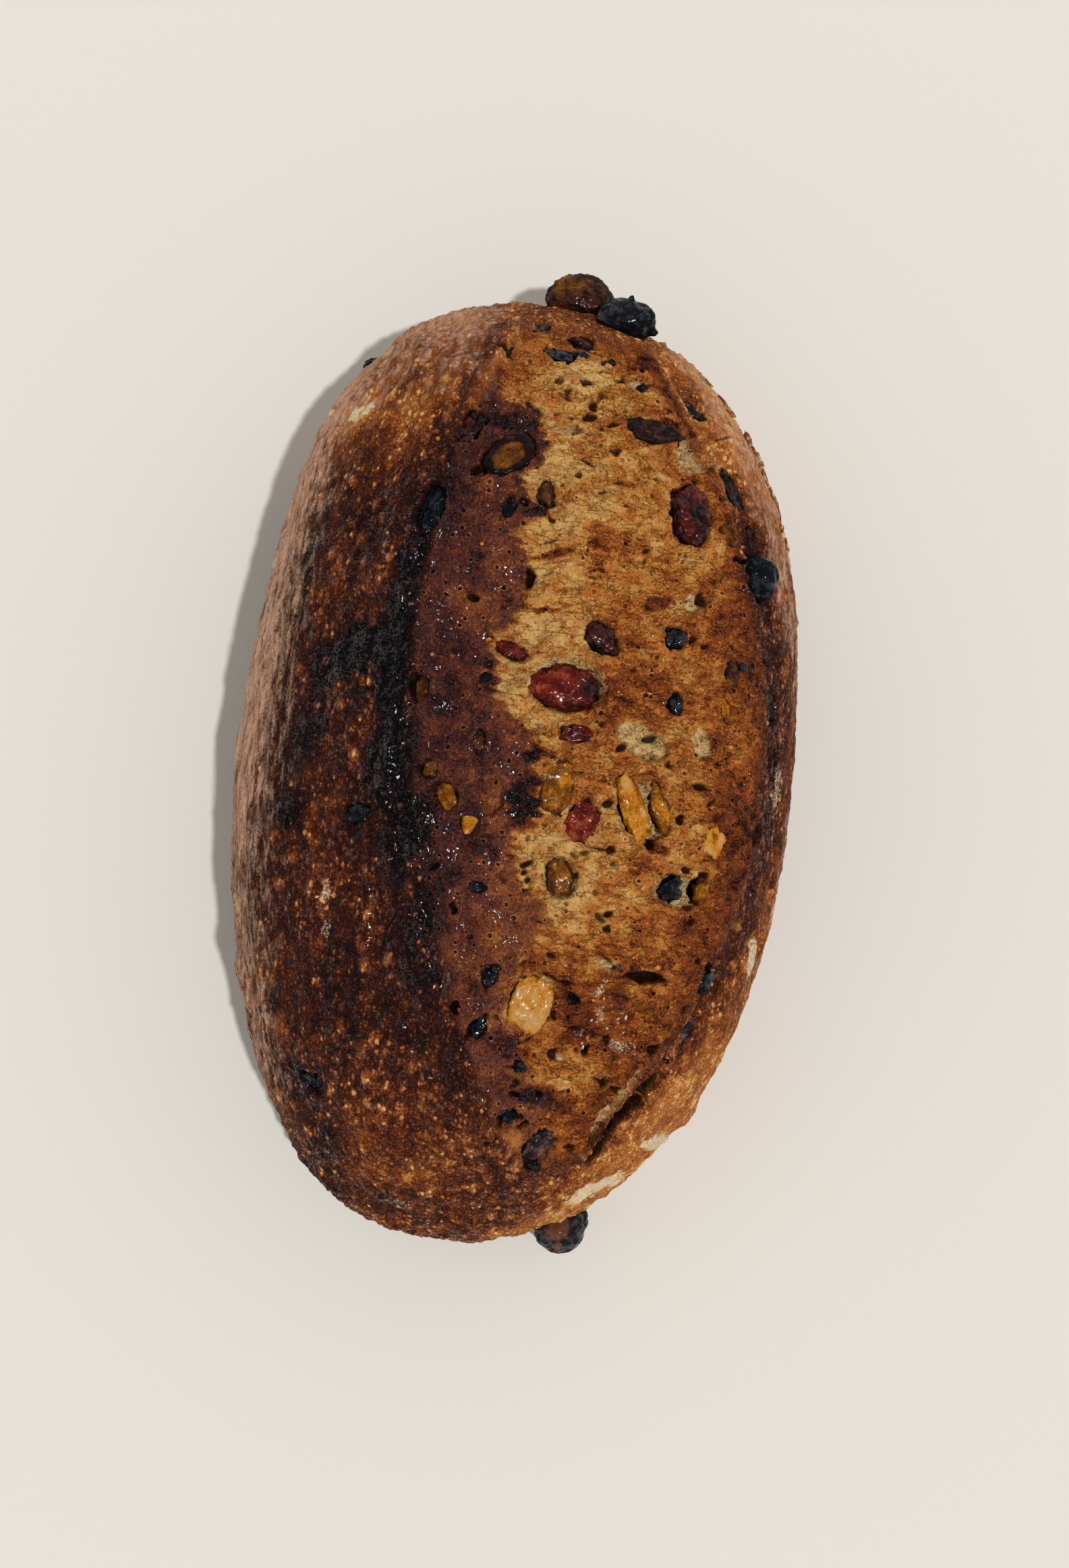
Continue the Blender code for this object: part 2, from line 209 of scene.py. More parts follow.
class Fruit:
    """A fruit's middle, its three axes and its half sizes along them, longest first, in loaf mm."""

    def __init__(self, name):
        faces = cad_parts[name].data.polygons
        middles = np.array([face.center for face in faces]) / MM - LOAF_MIDDLE
        areas = np.array([face.area for face in faces])
        self.name = name
        self.middle = areas @ middles / areas.sum()
        away = middles - self.middle
        _, self.axes = np.linalg.eigh(away.T @ (away * areas[:, None]))
        self.axes = self.axes.T[::-1]
        if self.axes[2] @ (self.middle - (0, 0, GIRTH_HEIGHT)) < 0:
            self.axes[2] *= -1
        if np.linalg.det(self.axes) < 0:
            self.axes[0] *= -1
        self.half = np.abs(away @ self.axes.T).max(axis=0) * FACE_REACH


fruits = {name: Fruit(name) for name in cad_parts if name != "loaf"}
RIM_NAMES = [name for name in fruits if name.endswith("_rim")]

# The gap round a fruit, in mm, which is less where the dough covers it, and the pocket's own form.
POCKET_GAP = {"raisin": 0.1, "cranberry": -0.1, "sultana": -0.25}
COVERED_GAP = -0.5
COVERED = ("sultana_01", "sultana_02", "raisin_04", "raisin_16", "raisin_12", "raisin_10", "raisin_05")
FRUIT_SINK = 0.2  # the share of its thickness by which the pocket is deeper than the fruit
POCKET_DEEPER = 0.5
POCKET_RIM = 0.4
RIM_OUT = 1.0
RIM_WIDTH = 0.7


def pockets(points):
    """The relief of the pockets, and the shade painted in the gap round each fruit, from 0 to 1."""
    relief = np.zeros(len(points))
    shade = np.zeros(len(points))
    ragged = 1.3 * lumps(points, 3.4, seed=34) + 0.8 * lumps(points, 1.3, seed=33)
    for fruit in fruits.values():
        if fruit.name in RIM_NAMES:
            continue
        away = points - fruit.middle
        near = np.nonzero((away**2).sum(axis=1) < (1.7 * fruit.half[0] + 4) ** 2)[0]
        along = away[near] @ fruit.axes.T
        reach = np.hypot(along[:, 0] / fruit.half[0], along[:, 1] / fruit.half[1])
        gap = COVERED_GAP if fruit.name in COVERED else POCKET_GAP[fruit.name.split("_")[0]]
        beyond = (reach - 1) * math.sqrt(fruit.half[0] * fruit.half[1]) + ragged[near] - gap
        thickness = 2 * fruit.half[2]
        depth = FRUIT_SINK * thickness + POCKET_DEEPER
        depth += thickness / 2 * np.sqrt(np.clip(1 - reach**2, 0, 1))
        relief[near] -= depth * (1 - smooth_step(-0.3, 0.5, beyond))
        relief[near] += POCKET_RIM * bell(beyond - RIM_OUT, RIM_WIDTH)
        # Painted shade: a dark ring in the gap between the fruit and the crumb.
        shade[near] = np.maximum(shade[near], 1 - smooth_step(-0.3, 0.4, beyond))
    return relief, shade


# ---------------------------------------------------------------------------------------------------
# The holes: bubbles in the dough that the burst has torn open, from pin pricks to the long slit near
# the right side. Windows are shallow and foamy, with a painted shadow on one side, and pits are
# filled with painted shade. Each row is across, along, length, width, turn in degrees, and depth.
WINDOWS = (
    (33.3, 71.5, 12, 9.6, -60, 2.4), (27.5, 4.2, 13.5, 8, -19, 2.0), (41.3, 5.8, 8.5, 5.4, -72, 1.6),
    (-3.3, -11.5, 8.8, 4.8, 88, 1.6), (3.5, 72.5, 9, 3.8, 4, 2.0), (30.6, -75.4, 23, 4.6, 55, 1.6),
    (29.5, -11, 15, 12, -66, 1.8), (40, -27.2, 14, 7.4, 6, 1.6), (9.5, 14.2, 19, 13, 1, 1.3),
    (12.5, -27.5, 10, 7.6, -74, 1.3), (19, 86.6, 6.5, 3.4, -8, 1.3), (25.4, -45, 6, 2.6, 0, 0.9),
    (35.2, 36.2, 5.5, 4.0, -60, 1.3), (9, -54.8, 15, 10.5, 66, 1.0),
)
PITS = (
    (5.6, 72.0, 2.6, 1.2, 20, 1.4), (-0.6, 36.8, 5.2, 1.9, 93, 2.8), (33, -46.6, 9, 3.0, 3, 3.4),
    (33.2, -76.8, 22, 3.2, 55, 5.0), (27.6, -85.4, 8, 3.4, 48, 3.0), (31, -17.5, 4.5, 3, -50, 2.0),
    (37.0, 37.0, 4.4, 1.6, -60, 1.8), (-3.9, 77, 6, 2.2, -28, 1.8), (1.5, 92.6, 7, 3.4, 8, 2.4),
    (10.6, 90.3, 2.2, 1.4, 20, 1.8), (12.0, 90.1, 1.5, 1.1, 0, 1.4), (17.6, 90.5, 1.6, 1.2, 0, 1.4),
    (19.3, 90.3, 1.4, 1.7, 0, 1.4), (5.2, -25.3, 2.6, 1.7, 30, 2.0), (5.2, -27.2, 1.7, 1.3, 0, 1.7),
    (6.2, -28.6, 1.6, 1.2, 60, 1.6), (24, -34, 3.0, 2.0, 10, 2.4), (16.3, -26.7, 1.2, 1.8, 0, 1.4),
    (26.5, -70.3, 3.4, 1.6, 60, 1.8), (28.6, -71.2, 2.0, 1.5, 0, 1.6), (40.8, -64.4, 1.5, 1.3, 0, 1.4),
    (38.3, -11.6, 1.5, 2.6, 10, 1.4), (57.8, -24.5, 1.5, 2.0, 0, 1.4),
    (48.7, -42.9, 3.2, 2.4, -30, 2.2), (-6.6, -57, 1.5, 3.6, 10, 1.6), (-9.4, -36.5, 1.5, 3.2, 15, 1.6),
    (23.6, 19.0, 2.0, 1.5, 0, 0.9), (14.5, -57, 1.5, 2.2, 0, 1.1), (26.2, -45.4, 1.6, 1.4, 30, 1.2),
    (34.6, 0.2, 1.2, 2.2, 30, 1.2), (16.6, 12.5, 2.4, 1.4, 60, 1.2), (-6.6, 11.8, 3.2, 2.6, 0, 0.8),
    (12.6, -89.6, 3.6, 2.6, 0, 1.2), (18, -52.6, 3.6, 1.3, -30, 1.0),
)
HOLE_LIP = 0.18  # how far a hole's edge stands up, for each mm of its width
WIDEST_LIP = 2.5
# Painted shade: a shadow painted on one side of each window, and shade painted into the pits.
WINDOW_PAINTED_SHADOW = 0.7
FULL_SHADE_DEPTH = 1.2  # a pit of this depth looks quite dark
PORE_COUNT = 700
PORE_WIDTHS = (0.5, 2.1)
CRACK_COUNT = 110
CRACK_LENGTHS = (1.6, 5.5)
HOLE_SEED = 11


def random_pores():
    """Small round and oval pores, thicker on the burst than on the skin beside the ridge."""
    draw = np.random.default_rng(HOLE_SEED)
    y = draw.uniform(BURST_NEAR_END + 1, BURST_FAR_END - 1, PORE_COUNT)
    x = ridge_line(y) + 3 + draw.uniform(0, 1, PORE_COUNT) ** 0.8 * (crease_line(y) - ridge_line(y) - 3)
    small, large = PORE_WIDTHS
    width = small + (large - small) * draw.uniform(0, 1, PORE_COUNT) ** 4
    length = width * draw.uniform(1, 1.9, PORE_COUNT)
    turn = draw.uniform(-50, 60, PORE_COUNT)
    return np.column_stack([x, y, length, width, turn, 0.55 * width + 0.15])


def random_cracks():
    """Short cracks between the torn fibres, lying across the loaf, most of them beside the tear."""
    draw = np.random.default_rng(HOLE_SEED + 1)
    y = draw.uniform(BURST_NEAR_END + 5, BURST_FAR_END - 1, CRACK_COUNT)
    x = 3 + 46 * draw.uniform(0, 1, CRACK_COUNT) ** 1.4
    length = draw.uniform(*CRACK_LENGTHS, CRACK_COUNT)
    width = 0.35 + 0.12 * length * draw.uniform(0.2, 1, CRACK_COUNT)
    turn = draw.uniform(-35, 30, CRACK_COUNT)
    return np.column_stack([x, y, length, width, turn, 0.5 + 0.7 * width])


all_holes = np.vstack([WINDOWS, PITS, random_pores(), random_cracks()])


def ellipse_reach(x, y, across, along, length, width, turn):
    """How far each point lies from an ellipse's middle: 1 on its outline."""
    cosine, sine = math.cos(math.radians(turn)), math.sin(math.radians(turn))
    u = (x - across) * cosine + (y - along) * sine
    v = (y - along) * cosine - (x - across) * sine
    return np.hypot(u / (length / 2), v / (width / 2))


def holes(points, wander):
    """The relief of the holes, the painted shade in the pits and on one side of each window, and how
    far in a foamy window each point lies, both from 0 to 1.
    """
    relief = np.zeros(len(points))
    shade = np.zeros(len(points))
    foam = np.zeros(len(points))
    upper = points[:, 2] > 15
    x, y = (points + wander).T[:2]
    for index, (across, along, length, width, turn, depth) in enumerate(all_holes):
        near = np.nonzero(upper & (np.abs(x - across) < length) & (np.abs(y - along) < length))[0]
        reach = ellipse_reach(x[near], y[near], across, along, length, width, turn)
        beyond = (reach - 1) * width / 2
        inside = 1 - smooth_step(-0.35 - 0.1 * width, 0.15, beyond)
        relief[near] -= depth * inside
        relief[near] += HOLE_LIP * min(width, WIDEST_LIP) * bell(beyond - 0.5, 0.4)
        if index < len(WINDOWS):
            foam[near] = np.maximum(foam[near], inside)
            # A painted shadow just inside the rim on the window's near right side, which the light does not
            # reach.
            shadowed_side = np.clip(1.6 * ((x[near] - across) - (y[near] - along)) / width, 0, 1)
            painted_dark = WINDOW_PAINTED_SHADOW * shadowed_side * bell(beyond + 0.3, 0.45)
        else:
            # Pits are painted dark with shade, fully once they are this deep.
            painted_dark = (1 - smooth_step(-0.35, 0.2 + 0.08 * depth, beyond)) * min(1, depth / FULL_SHADE_DEPTH)
        shade[near] = np.maximum(shade[near], painted_dark)
    return relief, shade, foam


# ---------------------------------------------------------------------------------------------------
# The baking: how dark each place has become, from 0, pale crumb, to 1, burnt black. The skin between
# the ridge and the tear is brown-purple, the torn crumb is palest at the tear and browns to the right.
# Tone rows are across, along, length, width, turn in degrees, and the change.
TEAR = (
    (-12, 104), (-11.5, 94), (-12.5, 86), (-12, 79), (-7, 76.5), (-1.5, 75), (-1.5, 70), (-0.5, 66),
    (-3, 61), (-5, 58), (-3, 55), (1.5, 52.3), (2.5, 51), (-2.5, 49), (-4.3, 46), (-3, 43), (-0.5, 41),
    (0, 38), (0.2, 34), (-0.8, 31.5), (-1, 29), (-3, 26.5), (-6.5, 24), (-6.5, 21), (-5.5, 17),
    (-5.5, 12), (-4, 9), (-1.5, 6.5), (2, 3.5), (3.5, 0.5), (6.5, -3), (6.5, -8), (4.5, -10), (7, -14),
    (3.5, -17), (1, -20), (1.5, -24), (4, -28), (8, -32), (11, -36), (9, -42), (5, -48), (3.5, -54),
    (5, -60), (8, -64), (10.5, -68), (13, -72), (17, -75), (14, -79), (13, -84), (15, -92),
)
TONES = (
    # The palest crumb beside the tear, and thin places in the skin.
    (3, 86, 18, 12, 15, -0.11), (10, 79.5, 22, 5, 8, -0.09), (0.5, 80, 6, 12, 0, -0.04),
    (17, 86, 12, 7, 0, -0.08), (33.5, 71.5, 10, 11, -30, -0.21), (23, 66, 15, 11, 0, -0.09),
    (6, 68, 14, 10, 0, -0.07), (4, 62, 10, 6, 0, -0.10), (-2, 59.5, 5, 4, 0, -0.11),
    (-1, 47, 8, 8, 0, -0.17), (6, 50, 12, 5, 20, -0.13), (12, 53, 14, 4, 10, -0.06),
    (5, 37, 10, 9, 0, -0.15), (11, 37, 8, 10, 0, -0.09), (1, 27, 8, 7, 0, -0.15),
    (8, 25, 9, 10, 0, -0.11), (-4, 20, 7, 6, 20, -0.11), (-3.5, 13, 5, 8, 0, -0.14),
    (12, 20, 22, 3.4, -3, -0.12), (8, 6.5, 14, 3.6, 8, -0.14), (27.5, 4, 13, 7.5, -19, -0.23),
    (41.3, 5.6, 8, 5, -72, -0.10), (9, -20.5, 17, 4, -4, -0.17), (7, -25, 8, 8, 0, -0.08),
    (-3.3, -11.5, 5, 9, -2, -0.23), (28, -11, 12, 16, 0, -0.08), (44, -22, 12, 2, 22, -0.11),
    (35, -25, 10, 2.4, 30, -0.10), (9, -54, 13, 9, 66, -0.17), (20, -71.5, 18, 4, 4, -0.14),
    (27, -67, 8, 5, 0, -0.06), (6.3, -85, 8, 4, 10, -0.28), (31.0, -76, 20, 4, 55, -0.19),
    (24, -88, 14, 4, 30, -0.09), (24.5, -45, 6, 3, 0, -0.13), (33, -49.2, 9, 2.4, 3, -0.17),
    (34.5, 36, 6, 8, -30, -0.14), (28.5, 58, 4, 10, 0, -0.13), (43, 24, 6, 9, 0, -0.04),
    (20, -33, 26, 10, 0, -0.04), (38, -34, 4, 6, 0, -0.09), (20, -84, 9, 12, 0, -0.06),
    (22, 42, 12, 5, 0, -0.03), (0, 96, 12, 5, 0, -0.08), (16, 97, 12, 6, 0, -0.03),
    (29, 36, 14, 14, 0, -0.06), (18, 21, 12, 12, 0, -0.07), (-12, 29, 5, 7, 10, -0.10),
    (-8, 28, 5, 5, 0, -0.04), (-3, -11, 6, 12, 0, -0.10), (-10, 22, 4, 5, 0, -0.04),
    (-8, 44, 4, 9, 0, -0.10), (-12, 56, 6, 8, 0, -0.10), (-10, -8, 5, 4, 0, -0.08),
    (-1, -30, 6, 8, 0, -0.06), (13, 22, 6, 6, 0, -0.10), (46, 53, 5, 9, 0, -0.07),
    (48, 29, 5, 9, 0, -0.07), (54, -30, 5, 9, 0, -0.07), (17, 60, 7, 7, 0, -0.06),
    (20, -37, 8, 8, 0, -0.06), (21, -71, 7, 5, 0, -0.04),
    # Darker skin that was left on the burst in tongues and islands, and crumb that browned more.
    (4, 42.3, 9.5, 2.0, 17, 0.42), (-1, 51.3, 6, 2.4, 15, 0.3), (3, 30.2, 9, 1.4, 5, 0.36),
    (27.5, 34.6, 5.4, 2.8, 12, 0.40), (12, 45, 3, 3.4, 0, 0.3), (24, 74.5, 12, 6, -2, 0.30),
    (14, 75, 8, 5, 0, 0.14), (-7, 72.5, 14, 4.6, 0, 0.2), (-6, 83, 8, 8, 0, 0.06),
    (-6, 103, 18, 5, 10, 0.3), (24, 88, 14, 4, -42, 0.16), (34, 79, 26, 5, -52, 0.22),
    (5, -1.7, 8, 3.2, 12, 0.34), (3.2, -12.5, 5, 12, 4, 0.28), (30, -6.5, 5, 3, 0, 0.2),
    (33, -18, 5, 4, -40, 0.3), (13, -9, 4, 6, 0, 0.1), (-3.5, -23, 5, 6, 0, 0.16),
    (5, -64, 11, 6, -8, 0.18), (14.5, -75, 13, 4.6, -5, 0.36), (2, -75, 18, 9, 0, 0.08),
    (17.5, -53, 7, 2.2, -28, 0.32), (22, -62, 10, 6, 0, 0.12), (45, -33, 16, 14, 0, 0.06),
    (20, 46, 18, 7, -10, 0.10), (40, 34, 12, 16, 0, 0.10), (21, 10, 9, 11, 20, 0.08),
    (52, -18, 12, 34, 8, 0.12), (46, 40, 6, 30, 8, 0.02), (12.5, -89.5, 5, 3, 0, 0.4),
    (47, 22, 9, 12, 0, 0.12), (23, -55, 16, 12, 0, 0.14), (28, -92, 20, 3, 28, 0.1),
    (21, 31, 6, 3, 0, 0.1), (33, 16, 12, 6, -20, 0.06), (22, 4, 24, 34, 10, 0.06),
    (42, 12, 12, 20, 0, 0.10), (34, -20, 16, 36, 0, 0.06), (0, 69, 14, 9, 0, 0.09),
    (-10, 86, 11, 10, 0, 0.10), (31, 81, 9, 8, 0, 0.12), (33.4, 52, 7, 9, 0, 0.12),
    (35.5, 14, 8, 9, 0, 0.10), (-9.6, 20, 6, 7, 0, 0.10), (-5.6, -18, 6, 9, 0, 0.10),
    (-2, -55, 7, 9, 0, 0.10), (35, 76, 5, 6, -40, 0.26), (2, 70.5, 4, 4, 0, 0.22),
    (-0.5, 47, 6, 5, 0, 0.07), (-15, 14, 9, 30, 0, 0.04), (50.5, 22.5, 4, 5, 0, 0.08),
)
CRUST_TONES = (
    # Burnt along the ridge and on the shoulder.
    (-21, 61, 26, 4, 105, 0.18), (-24.5, 45, 18, 4, 92, 0.22), (-27, 30, 22, 4.6, 90, 0.34),
    (-27.5, 12, 24, 6.5, 92, 0.44), (-26, -6, 20, 9, 82, 0.42), (-21, -22, 20, 11, 72, 0.36),
    (-15, -38, 22, 9, 78, 0.32), (-13, -51, 12, 10, 0, 0.22), (-37, 17, 20, 8, 28, 0.44),
    (-45, 3, 20, 8, 80, 0.26), (-50, 33, 36, 3.6, 92, 0.16), (-31, 81.5, 9, 6, 0, 0.26),
    (-47, -18, 7, 8, 0, 0.36), (-48, -60, 5, 6, 0, 0.3), (-39, -77, 9, 7, -30, 0.24),
    (-33, -91, 8, 6, -30, 0.26), (-33, -99, 14, 5, -25, 0.24), (-45, -75, 20, 8, 110, 0.06),
    (-19, 74, 16, 5, 80, 0.2), (-14, 92, 20, 4, 75, 0.24), (-35, -37, 26, 12, 80, 0.06),
    (-8, -66, 12, 10, 0, 0.02), (-30, -66, 22, 14, 60, 0.04), (-2, -90, 14, 5, 0, 0.04),
    (-22, 62, 8, 26, 0, 0.1), (-30, 48, 8, 16, 0, 0.06), (-28, 90, 26, 11, 0, 0.09),
    # Amber, where the crust has blistered but not burnt.
    (-41, -14, 12, 22, 8, -0.16), (-40, 34, 14, 16, 0, -0.06), (-46, 50, 9, 10, 0, -0.12),
    (-40, 74, 26, 7, -12, -0.22), (-44, 73.4, 4.4, 6.6, -20, -0.5), (-16, -85, 26, 16, 0, -0.16),
    (-11, -95, 26, 8, 0, -0.14), (-25.5, -88, 9, 5, 20, -0.22), (-45, -67, 3.4, 9, 15, -0.3),
    (-33, -32, 10, 10, 0, -0.06), (-28, -42, 8, 10, 0, -0.08), (-12, 87.4, 3.4, 5, -10, -0.34),
    (-31, -8, 7, 20, 0, -0.03), (-13, 30, 12, 5, 8, -0.16), (-27, -72, 6, 5, 0, -0.2),
    (-15, 45, 5, 14, 0, -0.1), (4, -86, 24, 10, 0, -0.08),
)
# White flour that the loaf was proved on: patches on the left shoulder, the burst and the right edge.
FLOUR = (
    (-43.1, 74.4, 6.5, 3.6, 30, 1.0), (-51, 77, 3, 2, 0, 0.9), (-37.4, -35, 2.4, 6.5, 8, 0.62),
    (-37.0, -43, 2.2, 4, 0, 0.6), (27.5, -94, 15, 3.4, 32, 1.0), (40, -82, 7, 3, 40, 0.9),
    (58, -39, 2.2, 10, -6, 0.9), (47.5, 85, 2.4, 10, 20, 0.9), (41, 94, 2.6, 9, 38, 0.8),
    (33, 102, 10, 2, -45, 0.8), (61, 0, 2, 12, 0, 0.6), (17, -66, 2.2, 1.6, 0, 0.9),
    (24, -51, 4, 2, 60, 0.66), (25, -56, 5, 2, 80, 0.62), (29, -62, 6, 2.4, 0, 0.62),
    (21, -60.5, 3, 1.6, 0, 0.62), (-1.5, -60, 3, 1.4, -60, 0.8), (-17, -101, 10, 2, 0, 0.5),
)
PALEST = 0.17  # however many pale rows overlap, they change no more than this
CHARRING = 0.85

# How dark each finish is at first, and how that changes between two places along the loaf.
SKIN_BAKE = 0.66
SKIN_ALONG = ((-14, -40, -0.13),)
CRUMB_BAKE = 0.11
CRUMB_ALONG = ((-30, -45, 0.15), (-84, -90, 0.14), (86, 96, 0.12))
CRUST_BAKE = 0.61
CRUST_ALONG = ((-12, -42, -0.06), (-70, -92, -0.05), (-98, -106, -0.07), (42, 78, -0.29))


def bands(values, rows):
    """The sum of the rows' changes: each sets in from its first place to its second."""
    return sum(change * smooth_step(start, end, values) for start, end, change in rows)


def soft_spots(x, y, height, rows, edge=(0.7, 1.3)):
    """The sum of the rows' changes, each fading out over the edge of its ellipse and down the walls."""
    total = np.zeros(len(x))
    for across, along, length, width, turn, change in rows:
        size = max(length, width)
        near = np.nonzero((height > 8) & (np.abs(x - across) < size) & (np.abs(y - along) < size))[0]
        reach = ellipse_reach(x[near], y[near], across, along, length, width, turn)
        total[near] += change * (1 - smooth_step(*edge, reach))
    total = np.where(total < 0, PALEST * np.tanh(total / PALEST), total)
    return total * smooth_step(10, 36, height)


def wandering(points):
    """How far the outlines of patches and holes stray from their rows, so that none is a clean ellipse."""
    return np.column_stack([
        1.6 * lumps(points, 4.5, seed=3) + 2.4 * lumps(points, 2.0, stretch=(3, 0.7, 1), seed=4),
        1.3 * lumps(points, 4.5, seed=5) + 0.7 * lumps(points, 1.6, seed=6),
        np.zeros(len(points)),
    ])


def charring(points):
    """What the crust's own tone rows add. These patches are drawn out along the loaf."""
    x, y, z = points.T
    x = x + 1.6 * lumps(points, 4.5, seed=3) + 1.2 * lumps(points, 1.8, stretch=(1, 2.6, 1), seed=25)
    y = y + 3.0 * lumps(points, 5, seed=26) + 2.0 * lumps(points, 2, seed=27)
    return soft_spots(x, y, z, CRUST_TONES, edge=(0.35, 1.5))


def dusting_and_sheen(x, y, z, from_crease):
    """A greyish bloom of fine flour, with a painted sheen on the steep walls: at the far end, on the
    left wall and along the right edge.
    """
    dust = 0.85 * smooth_step(62, 108, y) * smooth_step(0, -24, x)
    dust += (1 - 0.3 * smooth_step(0, -40, y)) * smooth_step(74, 44, z) * smooth_step(-34, -56, x)
    dust += 0.3 * smooth_step(54, 60, x) * smooth_step(44, 30, z)
    dust += (0.2 + 0.4 * smooth_step(0, 50, y)) * smooth_step(1, 6, from_crease)
    return 0.8 * np.clip(dust, 0, 1) * (0.15 + 0.85 * smooth_step(12, 36, z))


def baking(points, wander):
    """The attributes that the crust's material reads, for each point."""
    x, y, z = points.T
    moved_x, moved_y, _ = (points + wander).T
    inside, top = burst_share(points)
    burst = inside * top
    tear_y, tear_x = np.array(sorted((along, across) for across, along in TEAR)).T
    from_tear = moved_x - np.interp(moved_y, tear_y, tear_x)
    from_crease = x - crease_line(y) + 0.5 * wander[:, 0]
    tear = burst * smooth_step(-1.1, 0.7, from_tear)

    skin = SKIN_BAKE + 0.08 * lumps(points, 9, seed=7) + 0.10 * lumps(points, 3.5, seed=19)
    skin += bands(from_tear, ((-14, -2, -0.10),)) + bands(y, SKIN_ALONG)

    crumb = CRUMB_BAKE + 0.16 * lumps(points, 16, seed=8) + 0.17 * lumps(points, 5, seed=9)
    crumb += 0.10 * lumps(points, 2.2, stretch=(2.4, 0.8, 1), seed=24)
    crumb += bands(from_tear, ((0, 22, 0.11),)) + bands(y, CRUMB_ALONG)
    crumb += (0.11 + bands(y, ((-55, -25, 0.10),))) * smooth_step(-21, -5, from_crease)

    crust = CRUST_BAKE + 0.12 * lumps(points, 9, stretch=(1, 2.5, 1), seed=10)
    crust += 0.12 * lumps(points, 3, seed=11) + bands(y, CRUST_ALONG)
    crust += 0.04 * bell(from_crease, 3.5) * smooth_step(-72, -40, y)
    crust += bands(from_crease, ((-9, -2, -0.11), (1, 6, -0.04)))
    crust -= 0.14 * smooth_step(1, 6, from_crease) * smooth_step(30, -20, y)
    crust -= 0.08 * smooth_step(-4, 0, from_crease) * smooth_step(-48, -64, y)

    bake = skin + (crumb - skin) * tear + soft_spots(moved_x, moved_y, z, TONES)
    bake = crust + (bake - crust) * smooth_step(0.2, 0.7, burst)
    bake += (CHARRING - 0.2 * smooth_step(30, 60, y)) * charring(points)
    flour = soft_spots(x + 0.4 * wander[:, 0], y + 0.4 * wander[:, 1], z + 30, FLOUR)
    return {"bake": np.clip(bake, 0, 1), "tear": tear, "burst": burst,
            "dust": dusting_and_sheen(x, y, z, from_crease), "flour": np.clip(flour, 0, 1)}


def blisters(points, size, share, stretch=(1, 1, 1), seed=0):
    """Round blisters about this size, in the given share of the places where one could be."""
    scaled = points / (size * np.array(stretch)) + 17.3 * seed
    found = [noise.voronoi(place) for place in scaled.tolist()]
    reach = np.array([row[0][0] for row in found])
    cells = np.array([row[1][0] for row in found])
    chance = np.modf(np.abs(np.sin(cells @ (12.99, 78.23, 37.72))) * 437.58)[0]
    return np.clip(1 - (reach / 0.55) ** 2, 0, 1) * np.clip((chance - 1 + share) / share, 0, 1)


def texture_relief(points, tear, burst):
    """The fine relief, its crests alone, and its blisters: of the crust's folds and the crumb's fibres."""
    x, y, z = points.T
    crust = 1 - burst
    skin = burst * (1 - tear)
    swirl = np.column_stack([lumps(points, 8, seed=31), lumps(points, 8, seed=32), np.zeros(len(points))])
    flow = points + 2.5 * swirl
    fibres = 1.3 * ridged(flow, 2.8, stretch=(2.2, 0.8, 1), seed=12) + 0.5 * lumps(points, 3.6, seed=13)
    fibres += 0.8 * ridged(flow, 1.2, stretch=(2.4, 0.8, 1), seed=14)
    level = 6 * lumps(flow, 7, stretch=(1.7, 0.8, 1), seed=36) + 1.2 * lumps(points, 1.8, seed=37)
    past_step = level - np.floor(level)
    fibres += 0.5 * (smooth_step(0.7, 1.0, past_step) - past_step)
    folds = 0.5 * lumps(points, 2.6, stretch=(1, 3.4, 1), seed=15) + 0.25 * lumps(points, 1.1, seed=16)
    beads = np.maximum(blisters(points, 2.7, 0.6, stretch=(1, 1.5, 1), seed=1),
                       0.7 * blisters(points, 1.7, 0.7, stretch=(1, 1.2, 1), seed=3))
    beads *= smooth_step(-0.16, 0.10, lumps(points, 7, stretch=(0.7, 3, 1), seed=38))
    pebbles = 0.30 * lumps(points, 1.0, seed=17) + 0.5 * ridged(flow, 2.4, seed=18)
    pebbles += 0.35 * blisters(points, 2.2, 0.5, seed=2)
    charred = bell(x - ridge_line(y) + 1, 7) * smooth_step(40, 60, z)
    crinkles = 0.9 * charred * ridged(points, 1.5, stretch=(1, 2.2, 1), seed=35)
    tear_edge = -0.7 * smooth_step(0.3, 0.7, tear) + 0.35 * bell(tear - 0.2, 0.18)
    wall = smooth_step(0.5, 8, z)
    crests = wall * (tear * fibres + crust * (folds + 0.62 * beads) + skin * pebbles + crinkles)
    return crests + wall * tear_edge, crests, crust * beads


# ---------------------------------------------------------------------------------------------------
# The crust and the crumb as five sheets of one skin over a plain body, so that each stays fine enough
# to show its grain. All follow the same shape, and each dips under its neighbour where they meet.
SHEET_MARGIN = 0.9
SHEET_DEPTH = 6
SHEET_END = 107
HALF_WAY = 6
BODY_SINK = 4.0
UNDERSIDE = math.radians(30)  # how far under the girth the sheets reach
QUICK_SHARE = 1.0  # how fine the meshes are, against the finished ones
FEWEST = 20
LAYERS = ("bake", "tear", "burst", "dust", "flour", "crest", "hole", "foam", "blister")


def counts(columns, rows):
    return max(FEWEST, round(columns * QUICK_SHARE)), max(FEWEST, round(rows * QUICK_SHARE))


def paint(mesh, name, values):
    """Gives a mesh an attribute: one number for each point."""
    layer = mesh.attributes.new(name, "FLOAT", "POINT")
    layer.data.foreach_set("value", np.asarray(values, np.float32))


def move(vertices, places):
    for vertex, place in zip(vertices, places):
        vertex.co = place


def mesh_of(shape, name):
    mesh = bpy.data.meshes.new(name)
    shape.to_mesh(mesh)
    shape.free()
    return mesh


